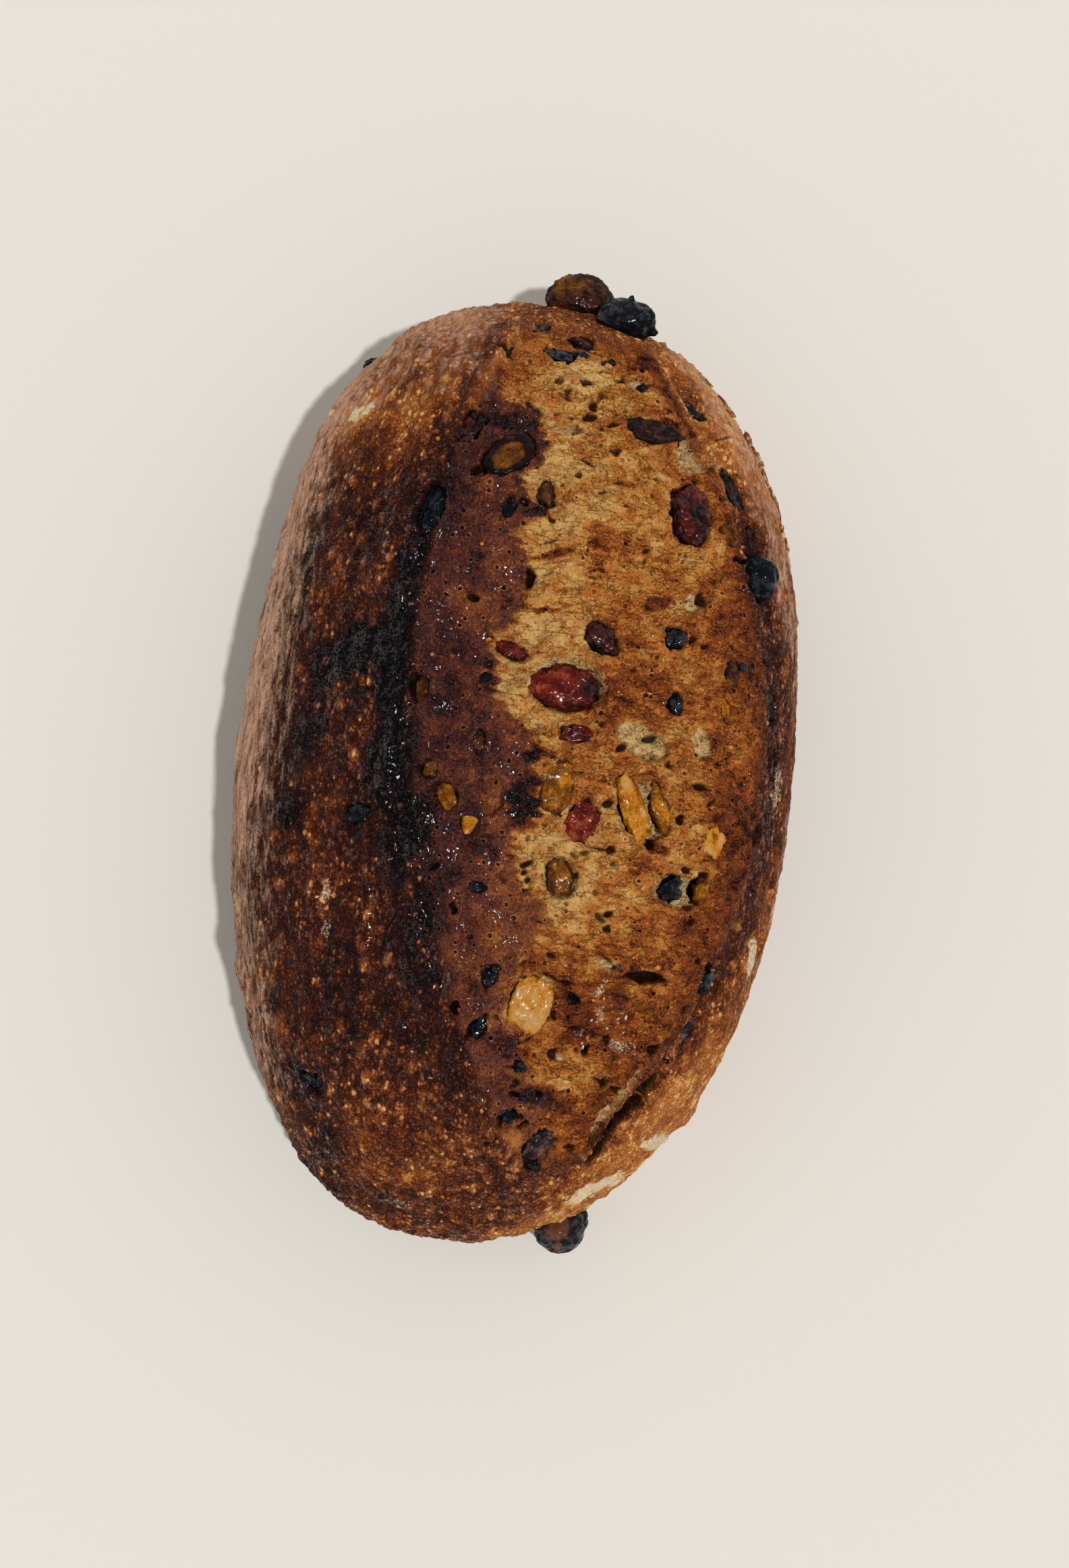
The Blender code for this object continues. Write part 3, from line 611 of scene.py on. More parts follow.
def dressed(mesh):
    """Paints the baking on a mesh of the plain loaf, in loaf mm. Gives its points, the ways they face
    and how far each one rises."""
    points, normals = (np.empty(len(mesh.vertices) * 3) for _ in range(2))
    mesh.vertices.foreach_get("co", points)
    mesh.vertices.foreach_get("normal", normals)
    points, normals = points.reshape(-1, 3), normals.reshape(-1, 3)
    wander = wandering(points)
    values = baking(points, wander)
    pocket_relief, pocket_shade = pockets(points)
    hole_relief, hole_shade, values["foam"] = holes(points, 0.4 * wander)
    texture = texture_relief(points, values["tear"], values["burst"])
    fine_relief, values["crest"], values["blister"] = texture
    # The shade painted into the pockets and the holes.
    values["hole"] = np.maximum(pocket_shade, hole_shade)
    for name in LAYERS:
        paint(mesh, name, values[name])
    return points, normals, main_relief(points) + fine_relief + pocket_relief + hole_relief


def place_mesh(mesh, points):
    """Carries the points from loaf millimetres into the frame, with none below the table."""
    points[:, 2] = np.maximum(points[:, 2], 0)
    mesh.vertices.foreach_set("co", ((points + LOAF_MIDDLE) * MM).ravel())
    mesh.update()


def link_piece(name, mesh, material, slot, *nodes):
    """Makes a mesh a smooth piece that rides on the loaf and stands for these CAD nodes."""
    mesh.materials.append(material)
    mesh.polygons.foreach_set("use_smooth", np.ones(len(mesh.polygons), bool))
    piece = bpy.data.objects.new(name, mesh)
    bpy.context.scene.collection.objects.link(piece)
    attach(piece, "root")
    if nodes:
        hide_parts(*nodes)
    return piece


def loaf_sheet(name, columns, rows, near, far, left, right, material):
    """A sheet of the loaf's skin from one place along it to another, between two lines across it, each
    given as the angle round the loaf at a tip angle. Its rim is turned in and closed inside the loaf."""
    shape = bmesh.new()
    columns, rows = counts(columns, rows)
    bmesh.ops.create_grid(shape, x_segments=columns, y_segments=rows, size=1)
    grid = np.array([vertex.co[:2] for vertex in shape.verts])
    tip = tip_at(near) + (tip_at(far) - tip_at(near)) * (grid[:, 1] + 1) / 2
    start, end = left(tip), right(tip)
    move(shape.verts, plain_loaf(tip, start + (end - start) * (grid[:, 0] + 1) / 2))
    mesh = mesh_of(shape, name)
    points, normals, rise = dressed(mesh)
    place_mesh(mesh, points + normals * rise[:, None])

    shape = bmesh.new()
    shape.from_mesh(mesh)
    rim = [edge for edge in shape.edges if edge.is_boundary]
    turned = bmesh.ops.extrude_edge_only(shape, edges=rim)["geom"]
    core = Vector((LOAF_MIDDLE + (0, 0, GIRTH_HEIGHT)) * MM)
    for vertex in [item for item in turned if isinstance(item, bmesh.types.BMVert)]:
        inward = Vector((core.x, vertex.co.y * 0.9, core.z)) - vertex.co
        vertex.co += inward.normalized() * SHEET_DEPTH * MM
    inner_rim = [item for item in turned if isinstance(item, bmesh.types.BMEdge) and item.is_boundary]
    for edge in rim:
        edge.smooth = False
    cap = bmesh.ops.contextual_create(shape, geom=inner_rim)["faces"]
    bmesh.ops.poke(shape, faces=cap)
    bmesh.ops.recalc_face_normals(shape, faces=shape.faces)
    shape.to_mesh(mesh)
    shape.free()
    return link_piece(name, mesh, material, "crust")


def feed(tree, socket, value):
    """Sets a socket, or links it to the socket of another node."""
    if isinstance(value, bpy.types.NodeSocket):
        tree.links.new(value, socket)
    else:
        socket.default_value = value


def node(tree, kind, inputs=(), **settings):
    """Adds a shader node. An input is a value or the socket of another node."""
    made = tree.nodes.new("ShaderNode" + kind)
    for name, value in settings.items():
        setattr(made, name, value)
    for name, value in dict(inputs).items():
        feed(tree, made.inputs[name], value)
    return made


def maths(tree, operation, *values):
    return node(tree, "Math", enumerate(values), operation=operation).outputs[0]


def clamp_range(tree, value, low, high, to_low=0.0, to_high=1.0):
    """Carries low..high smoothly to to_low..to_high."""
    inputs = {"Value": value, "From Min": low, "From Max": high, "To Min": to_low, "To Max": to_high}
    return node(tree, "MapRange", inputs, interpolation_type="SMOOTHSTEP").outputs["Result"]


def colour(red, green, blue):
    """A screen colour from 0 to 255, as the light that Blender works with."""
    values = np.array([red, green, blue]) / 255
    return (*np.where(values <= 0.04045, values / 12.92, ((values + 0.055) / 1.055) ** 2.4), 1)


def ramp(tree, value, stops):
    """A colour that runs through the stops: (place, colour) pairs."""
    made = node(tree, "ValToRGB", {"Fac": value})
    elements = made.color_ramp.elements
    while len(elements) < len(stops):
        elements.new(0.5)
    for element, (place, shade) in zip(elements, stops):
        element.position = place
        element.color = shade
    return made.outputs["Color"]


def mix(tree, factor, first, second):
    """The first colour where the factor is 0, and the second where it is 1."""
    made = node(tree, "Mix", data_type="RGBA")
    for name, value in (("Factor", factor), ("A", first), ("B", second)):
        feed(tree, next(item for item in made.inputs if item.name == name and item.enabled), value)
    return next(item for item in made.outputs if item.enabled)


def shared_group(name, inputs, outputs):
    """An empty shader node group with these inputs and outputs, each a name and a kind of socket."""
    group = bpy.data.node_groups.new(name, "ShaderNodeTree")
    for socket, kind in inputs:
        group.interface.new_socket(socket, in_out="INPUT", socket_type="NodeSocket" + kind)
    for socket in outputs:
        group.interface.new_socket(socket, in_out="OUTPUT", socket_type="NodeSocketFloat")
    start = group.nodes.new("NodeGroupInput")
    return group, start.outputs, group.nodes.new("NodeGroupOutput").inputs


def grain_group():
    """Noise from 0 to 1 with grains of a size in metres, drawn out along an axis by the stretch."""
    inputs = (("Place", "Vector"), ("Size", "Float"), ("Stretch", "Vector"), ("Detail", "Float"),
              ("Roughness", "Float"))
    group, given, out = shared_group("grain", inputs, ("Noise",))
    once = maths(group, "DIVIDE", 1.0, given["Size"])
    scaled = node(group, "VectorMath", {0: given["Place"], "Scale": once}, operation="SCALE").outputs[0]
    drawn = node(group, "VectorMath", {0: scaled, 1: given["Stretch"]}, operation="DIVIDE").outputs[0]
    inputs = {"Vector": drawn, "Scale": 1.0, "Detail": given["Detail"], "Roughness": given["Roughness"]}
    group.links.new(node(group, "TexNoise", inputs).outputs["Fac"], out["Noise"])
    return group


def spots_group():
    """Round spots, in a share of the cells of a size: their insides, their rims, domes and own tones."""
    inputs = (("Place", "Vector"), ("Size", "Float"), ("Share", "Float"), ("Reach", "Float"))
    group, given, out = shared_group("spots", inputs, ("Inside", "Rim", "Dome", "Tone"))
    once = maths(group, "DIVIDE", 1.0, given["Size"])
    scaled = node(group, "VectorMath", {0: given["Place"], "Scale": once}, operation="SCALE").outputs[0]
    cells = node(group, "TexVoronoi", {"Vector": scaled, "Scale": 1.0}, feature="F1")
    chances = node(group, "SeparateColor", {"Color": cells.outputs["Color"]}).outputs
    start = maths(group, "SUBTRACT", 1.0, given["Share"])
    present = maths(group, "GREATER_THAN", chances["Green"], start)
    share_of_reach = clamp_range(group, chances["Blue"], 0.0, 1.0, 0.55, 1.0)
    radius = maths(group, "MULTIPLY", maths(group, "MULTIPLY", share_of_reach, given["Reach"]), present)
    inside = maths(group, "LESS_THAN", cells.outputs["Distance"], radius)
    around = maths(group, "LESS_THAN", cells.outputs["Distance"], maths(group, "MULTIPLY", radius, 1.45))
    ratio = maths(group, "DIVIDE", cells.outputs["Distance"], maths(group, "ADD", radius, 0.001))
    dome = clamp_range(group, ratio, 0.35, 1.1, 1.0, 0.0)
    rim = maths(group, "SUBTRACT", around, inside)
    for name, socket in (("Inside", inside), ("Rim", rim), ("Dome", dome), ("Tone", chances["Red"])):
        group.links.new(socket, out[name])
    return group


grain_look = grain_group()
spots_look = spots_group()


def grain(tree, place, size, detail=2.0, rough=0.5, stretch=(1, 1, 1)):
    """The shared noise with grains about this size in millimetres."""
    inputs = {"Place": place, "Size": size * MM, "Stretch": stretch, "Detail": detail, "Roughness": rough}
    return node(tree, "Group", inputs, node_tree=grain_look).outputs["Noise"]


def spots(tree, place, size, share, reach):
    """The shared round spots, about this many millimetres apart."""
    inputs = {"Place": place, "Size": size * MM, "Share": share, "Reach": reach}
    return node(tree, "Group", inputs, node_tree=spots_look).outputs


REDDISH_CRUMB = colour(166, 86, 38)
# The bloom's colour: pale flour, and a painted sheen where the steep walls face the bright surround.
BLOOM_AND_SHEEN = colour(218, 174, 146)
WHITE_FLOUR = colour(224, 208, 176)
# The near black that is painted as shade into pits, fruit pockets and one side of each window.
PAINTED_SHADE_COLOUR = colour(9, 4, 4)
CRUMB_COLOURS = (
    (0.00, colour(222, 180, 112)),
    (0.10, colour(204, 148, 74)),
    (0.24, colour(192, 122, 54)),
    (0.38, colour(174, 97, 42)),
    (0.50, colour(144, 72, 32)),
    (0.63, colour(104, 50, 29)),
    (0.77, colour(56, 29, 25)),
    (0.90, colour(22, 12, 14)),
    (1.00, colour(7, 5, 7)),
)
FOAM_COLOURS = (
    (0.12, colour(224, 196, 142)),
    (0.40, colour(190, 148, 90)),
    (0.62, colour(136, 88, 44)),
    (0.85, colour(64, 36, 22)),
)
SKIN_COLOURS = (
    (0.20, colour(176, 114, 58)),
    (0.38, colour(134, 76, 42)),
    (0.52, colour(100, 52, 38)),
    (0.66, colour(68, 33, 30)),
    (0.80, colour(36, 18, 18)),
    (0.92, colour(15, 9, 12)),
    (1.00, colour(6, 5, 8)),
)
CRUST_COLOURS = (
    (0.00, colour(222, 174, 108)),
    (0.16, colour(192, 126, 62)),
    (0.34, colour(150, 82, 34)),
    (0.50, colour(100, 48, 24)),
    (0.64, colour(61, 27, 17)),
    (0.78, colour(36, 16, 16)),
    (0.91, colour(18, 10, 13)),
    (1.00, colour(6, 4, 7)),
)


def varied(tree, value, *noises):
    """The value with each noise's swing about its middle added: (noise, swing) pairs."""
    for noise_value, swing in noises:
        centred = node(tree, "Math", {0: noise_value, 1: swing, 2: -0.5 * swing}, operation="MULTIPLY_ADD")
        value = maths(tree, "ADD", value, centred.outputs[0])
    return value


def added(tree, value, *masks):
    """The value with a share of each mask, which runs from 0, added: (mask, share) pairs."""
    for mask, share in masks:
        value = node(tree, "Math", {0: mask, 1: share, 2: value}, operation="MULTIPLY_ADD").outputs[0]
    return value


def veins(tree, noise_value, width):
    """Thin lines, where the noise crosses its middle: 1 on the line and 0 beside it."""
    away = maths(tree, "ABSOLUTE", maths(tree, "SUBTRACT", noise_value, 0.5))
    return clamp_range(tree, away, 0.0, width, 1.0, 0.0)


def crust_material():
    material = bpy.data.materials.new("baked_crust")
    material.use_nodes = True
    tree = material.node_tree
    shader = tree.nodes["Principled BSDF"]
    place = node(tree, "TexCoord").outputs["Object"]
    read = {name: node(tree, "Attribute", attribute_name=name).outputs["Fac"] for name in LAYERS}
    fine = grain(tree, place, 0.55, detail=3.0)
    finer = grain(tree, place, 0.22, detail=2.0)
    blotch = grain(tree, place, 2.6, detail=3.0)
    threads = grain(tree, place, 0.7, detail=4.0, rough=0.6, stretch=(2.6, 0.8, 1))
    isles = grain(tree, place, 2.2, detail=6.0, rough=0.62, stretch=(1.7, 0.8, 1))
    streaks = grain(tree, place, 1.6, detail=5.0, rough=0.62, stretch=(1, 4, 1))
    torn = clamp_range(tree, varied(tree, read["tear"], (fine, 1.1), (finer, 0.5)), 0.45, 0.55)

    # Blisters of three sizes stand close together as amber beads, each with its own tone and a pale rim.
    drawn = node(tree, "VectorMath", {0: place, 1: (1, 0.75, 1)}, operation="MULTIPLY").outputs[0]
    granules = spots(tree, drawn, 0.9, share=0.95, reach=0.55)
    small = spots(tree, drawn, 1.4, share=0.85, reach=0.56)
    large = spots(tree, place, 2.6, share=0.35, reach=0.40)
    cluster = grain(tree, place, 4.0, detail=4.0, rough=0.62, stretch=(1, 2.4, 1))
    cluster = clamp_range(tree, cluster, 0.42, 0.58, 0.16, 1.0)
    bead = maths(tree, "MULTIPLY", small["Dome"], clamp_range(tree, small["Tone"], 0.1, 1.0, 0.12, 0.60))
    bead = added(tree, bead, (small["Rim"], 0.06), (large["Dome"], 0.24), (large["Rim"], 0.12))
    bead = added(tree, maths(tree, "MULTIPLY", bead, cluster), (granules["Dome"], 0.18))

    # Where it is burnt it is black in patches, with a net of fine wrinkles that shine.
    charred = clamp_range(tree, varied(tree, read["bake"], (isles, 0.9), (fine, 0.5)), 0.78, 1.06)
    wrinkles = veins(tree, grain(tree, place, 1.1, detail=3.0), 0.035)
    wrinkles = maths(tree, "MULTIPLY", wrinkles, charred)
    crust_tone = maths(tree, "SUBTRACT", maths(tree, "ADD", read["bake"], 0.175), bead)
    crust_tone = varied(tree, crust_tone, (fine, 0.6), (finer, 0.5), (streaks, 0.5))
    crust_tone = added(tree, crust_tone, (read["blister"], -0.36), (charred, 0.18), (wrinkles, -0.30))
    crust = ramp(tree, crust_tone, CRUST_COLOURS)

    # The skin beside the ridge is smoother, with small sunk pores that are darkened inside by painted
    # shade, and pale specks.
    shaded_pores = spots(tree, place, 2.2, share=0.5, reach=0.26)
    specks = spots(tree, place, 0.75, share=0.3, reach=0.26)
    skin_tone = varied(tree, read["bake"], (fine, 0.6), (finer, 0.6), (blotch, 0.5))
    skin_tone = added(tree, skin_tone, (read["crest"], -0.12), (shaded_pores["Inside"], 0.3),
                      (shaded_pores["Rim"], -0.16), (specks["Inside"], -0.16), (charred, 0.16),
                      (wrinkles, -0.16))
    skin = ramp(tree, skin_tone, SKIN_COLOURS)

    # The highest flakes of the torn crumb browned first, which leaves crisp islands of two tones.
    level = added(tree, varied(tree, isles, (fine, 0.5), (finer, 0.3)), (read["bake"], 0.4))
    browned = clamp_range(tree, level, 0.64, 0.70)
    # Thin sunk creases between the fibres, darkened with painted shade.
    shaded_creases = grain(tree, place, 4.2, detail=4.0, rough=0.55, stretch=(1.6, 0.8, 1))
    shaded_creases = veins(tree, shaded_creases, 0.022)
    crumb_tone = varied(tree, read["bake"], (threads, 0.35), (fine, 0.5), (finer, 0.6), (blotch, 0.35))
    # The pores are darkened inside with painted shade here too.
    crumb_tone = added(tree, crumb_tone, (shaded_creases, 0.14), (browned, 0.11), (read["crest"], 0.18),
                       (shaded_pores["Inside"], 0.36), (shaded_pores["Rim"], -0.14), (specks["Inside"], -0.10))
    crumb = ramp(tree, crumb_tone, CRUMB_COLOURS)
    reddish = clamp_range(tree, grain(tree, place, 3.0, detail=5.0, rough=0.66), 0.46, 0.62, 0.0, 0.5)
    crumb = mix(tree, reddish, crumb, REDDISH_CRUMB)

    # The floor of an open window is a pale foam of small bubbles.
    bubbles = spots(tree, place, 2.1, share=0.95, reach=0.52)
    foam_tone = clamp_range(tree, bubbles["Dome"], 0.0, 1.0, 0.16, 0.50)
    foam_tone = varied(tree, foam_tone, (fine, 1.2), (finer, 0.8), (blotch, 1.4))
    foam = ramp(tree, added(tree, foam_tone, (bubbles["Rim"], -0.14)), FOAM_COLOURS)
    foamy = clamp_range(tree, varied(tree, read["foam"], (blotch, 1.2)), 0.15, 1.0, 0.0, 0.8)
    crumb = mix(tree, foamy, crumb, foam)

    # The three finishes meet along the tear, and the bloom with its painted sheen, the flour and the
    # painted shade in the holes and pockets lie over them.
    tint = mix(tree, clamp_range(tree, read["burst"], 0.1, 0.7), crust, skin)
    tint = mix(tree, torn, tint, crumb)
    # The flour bloom, with the sheen of the steep walls painted into it.
    dusted_and_sheened = varied(tree, read["dust"], (streaks, 2.2), (fine, 0.8))
    dusted_and_sheened = clamp_range(tree, dusted_and_sheened, 0.13, 1.0, 0.0, 0.85)
    dusted_and_sheened = maths(tree, "MULTIPLY", dusted_and_sheened, clamp_range(tree, read["dust"], 0.0, 0.3))
    tint = mix(tree, dusted_and_sheened, tint, BLOOM_AND_SHEEN)
    floury = clamp_range(tree, varied(tree, read["flour"], (fine, 1.8), (finer, 1.0)), 0.50, 0.90, 0.0, 0.9)
    floury = maths(tree, "MULTIPLY", floury, clamp_range(tree, read["flour"], 0.05, 0.3))
    tint = mix(tree, floury, tint, WHITE_FLOUR)
    tint = mix(tree, clamp_range(tree, read["hole"], 0.15, 1.0, 0.0, 0.92), tint, PAINTED_SHADE_COLOUR)
    feed(tree, shader.inputs["Base Color"], tint)

    # Most of the surface is dull, with small shining places, more of them where it is burnt.
    gloss = varied(tree, grain(tree, place, 0.5, detail=4.0, rough=0.65), (blotch, 0.3))
    gloss = added(tree, gloss, (read["bake"], 0.10), (read["dust"], -0.12), (torn, -0.06), (bead, 0.2),
                  (wrinkles, 0.16), (read["blister"], 0.12))
    feed(tree, shader.inputs["Coat Weight"], clamp_range(tree, gloss, 0.60, 0.72))
    shader.inputs["Coat Roughness"].default_value = 0.18
    shader.inputs["Roughness"].default_value = 0.75
    shader.inputs["Specular IOR Level"].default_value = 0.05

    height = varied(tree, maths(tree, "MULTIPLY", fine, 0.42), (finer, 0.16))
    crust_height = added(tree, height, (small["Dome"], 0.26), (large["Dome"], 0.34),
                         (granules["Dome"], 0.18), (wrinkles, 0.3))
    bubbled = maths(tree, "MULTIPLY", bubbles["Dome"], read["foam"])
    crumb_height = added(tree, height, (threads, 0.6), (shaded_pores["Inside"], -0.3), (browned, 0.3),
                         (shaded_creases, -0.4), (bubbled, -0.6))
    inputs = {"Factor": torn, "A": crust_height, "B": crumb_height}
    inputs = {"Height": node(tree, "Mix", inputs, data_type="FLOAT").outputs["Result"], "Strength": 1.0,
              "Distance": 1.0 * MM}
    feed(tree, shader.inputs["Normal"], node(tree, "Bump", inputs).outputs[0])
    return material


crust_look = crust_material()


def along_of(tip):
    return squared_circle(np.sin(tip), np.cos(tip), plan_squareness(tip))[0]


def over(line, shift):
    """The angle round the loaf over the ridge's or the crease's line, shifted to the right."""
    return lambda tip: angle_at(line(LOAF_LENGTH / 2 * along_of(tip)) + shift, tip)


def under(angle):
    """The same angle round the loaf all along it."""
    return lambda tip: np.full(len(tip), angle)


far_part = (HALF_WAY - SHEET_MARGIN, SHEET_END)
near_part = (-SHEET_END, HALF_WAY + SHEET_MARGIN)
burst_sides = (over(ridge_line, -SHEET_MARGIN), over(crease_line, SHEET_MARGIN))
left_sides = (under(math.pi + UNDERSIDE), over(ridge_line, SHEET_MARGIN))
right_sides = (over(crease_line, -SHEET_MARGIN), under(-UNDERSIDE))
loaf_sheets = [
    loaf_sheet("burst_far", 285, 330, *far_part, *burst_sides, crust_look),
    loaf_sheet("burst_near", 285, 330, *near_part, *burst_sides, crust_look),
    loaf_sheet("crust_left_far", 250, 375, *far_part, *left_sides, crust_look),
    loaf_sheet("crust_left_near", 250, 375, *near_part, *left_sides, crust_look),
    loaf_sheet("crust_right", 165, 570, -SHEET_END, SHEET_END, *right_sides, crust_look),
]

TIP_CROWDING = 0.25  # how much closer the body's rings stand towards its tips


def loaf_body():
    """The whole loaf, with its base and its two tips. Under the sheets it lies a little lower."""
    shape = bmesh.new()
    across, along = counts(380, 240)
    bmesh.ops.create_uvsphere(shape, u_segments=across, v_segments=along, radius=1)
    bmesh.ops.rotate(shape, verts=shape.verts, matrix=Matrix.Rotation(-math.pi / 2, 3, "X"))
    directions = np.array([vertex.co for vertex in shape.verts])
    tip = np.arcsin(np.clip(directions[:, 1], -1, 1))
    tip += TIP_CROWDING * np.sin(2 * tip)
    angle = np.arctan2(directions[:, 2], directions[:, 0])
    move(shape.verts, plain_loaf(tip, angle))
    mesh = mesh_of(shape, "crust_body")
    points, normals, rise = dressed(mesh)
    covered = smooth_step(SHEET_END - 1, SHEET_END - 7, np.abs(points[:, 1]))
    covered *= smooth_step(0.02, 0.2, np.sin(angle) + math.sin(UNDERSIDE))
    place_mesh(mesh, points + normals * (rise - BODY_SINK * covered)[:, None])
    return link_piece("crust_body", mesh, crust_look, "crust", "loaf")


loaf_body()

# ---------------------------------------------------------------------------------------------------
# The fruits: raisins, cranberries and golden sultanas, dried and wrinkled, baked into the dough. Each
# stands where its solid is. Its top is the share of its half thickness at which it is flattened, and
# its tone runs from 0, dark, to 1, pale.
FRUIT_TOPS = {"raisin": 0.75, "cranberry": 0.6, "sultana": 0.5}
FRUIT_TONES = {"raisin": 0.3, "cranberry": 0.35, "sultana": 0.45}
FRUITS_APART = {
    "raisin_01": (0.5, 0.9), "raisin_02": (0.3, 0.5), "raisin_03": (0.7, 0.2), "raisin_04": (0.45, 0.3),
    "raisin_05": (0.5, 0.2), "raisin_06": (1.0, 0.3), "raisin_08": (0.5, 0.1), "raisin_09": (0.55, 0.5),
    "raisin_10": (0.5, 0.1), "raisin_12": (0.5, 0.1), "raisin_16": (0.5, 0.8), "raisin_18": (0.4, 0.1),
    "raisin_19": (0.3, 0.1), "raisin_20": (1.0, 0.9), "raisin_far_rim": (1.0, 0.4),
    "raisin_near_rim": (1.0, 0.6), "raisin_left_rim": (1.0, 0.2),
    "cranberry_01": (0.4, 0.25), "cranberry_02": (0.5, 0.2), "cranberry_03": (0.5, 0.1),
    "cranberry_04": (0.75, 0.42), "cranberry_05": (0.5, 0.05), "cranberry_06": (0.8, 0.3),
    "cranberry_07": (0.4, 0.55), "cranberry_08": (1.0, 0.6), "cranberry_09": (0.4, 0.5),
    "cranberry_10": (0.4, 0.3), "cranberry_11": (0.5, 0.85),
    "sultana_01": (0.4, 0.12), "sultana_02": (0.5, 0.08), "sultana_03": (0.45, 0.36),
    "sultana_04": (0.4, 0.2), "sultana_05": (0.4, 0.35), "sultana_06": (0.4, 0.3),
    "sultana_07": (0.5, 0.65), "sultana_08": (0.4, 0.22), "sultana_09": (0.3, 0.2),
    "sultana_10": (0.3, 0.3), "sultana_11": (0.15, 0.56), "sultana_12": (0.15, 0.56),
    "sultana_13": (0.6, 0.74), "sultana_14": (0.4, 0.5), "sultana_15": (0.25, 0.95),
    "sultana_16": (0.35, 0.8), "sultana_17": (0.4, 0.6), "sultana_18": (0.55, 0.48),
    "sultana_19": (0.5, 1.0), "sultana_far_rim": (1.0, 0.22),
}
# Darker or paler places on a fruit: along it, across it, width, change, in shares of its half sizes.
MARKS = {
    "cranberry_04": ((0.1, 0.1, 0.3, -0.5), (0.5, -0.6, 0.3, 0.15)),
    "cranberry_08": ((0.7, 0.1, 0.35, -0.4), (-0.8, -0.3, 0.4, 0.2), (-0.8, 0.4, 0.4, 0.2)),
    "cranberry_02": ((0.2, 0.3, 0.25, 0.6),),
    "cranberry_11": ((0.5, 0.3, 0.4, -0.35), (-0.3, -0.4, 0.3, -0.25)),
    "raisin_near_rim": ((0.2, 0.0, 0.35, 1.0), (-0.5, 0.3, 0.25, 0.9), (0.6, -0.5, 0.2, 0.8)),
    "sultana_far_rim": ((-0.4, 0.0, 0.4, 0.35), (0.5, 0.2, 0.4, -0.2)),
    "sultana_19": ((0.3, -0.2, 0.3, -0.2), (-0.5, 0.5, 0.3, -0.15)),
    "sultana_13": ((-0.8, 0.0, 0.3, 0.3),),
    "sultana_11": ((0.9, 0.2, 0.3, -0.3),),
    "sultana_15": ((0.2, 0.1, 0.3, -0.35),),
}
FRUIT_COLOURS = {
    "raisin": ((0.0, colour(2, 6, 13)), (0.4, colour(6, 13, 25)), (0.8, colour(32, 22, 30)),
               (1.0, colour(96, 58, 40))),
    "cranberry": ((0.0, colour(10, 4, 4)), (0.4, colour(58, 8, 7)), (0.7, colour(112, 24, 10)),
                  (1.0, colour(150, 70, 28))),
    "sultana": ((0.0, colour(24, 12, 12)), (0.25, colour(74, 38, 14)), (0.5, colour(120, 70, 2)),
                (0.75, colour(188, 118, 12)), (1.0, colour(190, 146, 84))),
}
FRUIT_BUMPS = {"raisin": 0.08, "cranberry": 0.06, "sultana": 0.10}
FRUIT_SHINE = {"raisin": (0.05, 0.8), "cranberry": (0.1, 0.7), "sultana": (0.05, 0.35)}
FRUIT_WRINKLES = {"raisin": 2.6, "cranberry": 2.8, "sultana": 1.4}
LARGE_FRUIT = 6  # half its length; one this large is round, and a smaller one may be blocky
SQUARER = {"sultana_11": 0.55, "sultana_13": 0.8, "sultana_19": 0.75}  # 1 is round, and less is blocky
# Plump fruits that are fuller than their solids: shares of the three half sizes, longest first.
FULLER = {"raisin_far_rim": (0.9, 1.0, 1.1), "raisin_06": (1.0, 1.15, 2.6),
          "raisin_near_rim": (1.0, 1.1, 1.0)}
# Stubs of the stem: across, along, height of a point on their side, and how far they stand out.
STEM_ENDS = {"raisin_far_rim": ((26, 101, 46, 1.6), (16, 113, 47, 1.2)), "raisin_06": ((43, 50, 66, 0.8),)}
BLACK_ARCS = {"sultana_03": 0.9}  # burnt round its edge


def fruit_material(kind):
    material = bpy.data.materials.new(kind + "_skin")
    material.use_nodes = True
    tree = material.node_tree
    shader = tree.nodes["Principled BSDF"]
    place = node(tree, "TexCoord").outputs["Object"]
    ripe = node(tree, "Attribute", attribute_name="ripe").outputs["Fac"]
    blotch = grain(tree, place, 2.0, detail=3.0)
    fine = grain(tree, place, 0.5, detail=3.0)
    tone = varied(tree, ripe, (blotch, 0.8), (fine, 0.4))
    feed(tree, shader.inputs["Base Color"], ramp(tree, tone, FRUIT_COLOURS[kind]))
    gloss = clamp_range(tree, varied(tree, blotch, (fine, 0.4)), 0.44, 0.60, *FRUIT_SHINE[kind])
    feed(tree, shader.inputs["Coat Weight"], gloss)
    shader.inputs["Coat Roughness"].default_value = 0.12 if kind == "raisin" else 0.18
    shader.inputs["Roughness"].default_value = 0.6
    shader.inputs["Specular IOR Level"].default_value = 0.06
    if kind != "raisin":
        shader.inputs["Subsurface Weight"].default_value = 0.2
        shader.inputs["Subsurface Radius"].default_value = (1.0, 0.4, 0.15)
        shader.inputs["Subsurface Scale"].default_value = 1.2 * MM
    inputs = {"Height": fine, "Strength": 1.0, "Distance": FRUIT_BUMPS[kind] * MM}
    feed(tree, shader.inputs["Normal"], node(tree, "Bump", inputs).outputs[0])
    return material


fruit_looks = {kind: fruit_material(kind) for kind in FRUIT_COLOURS}


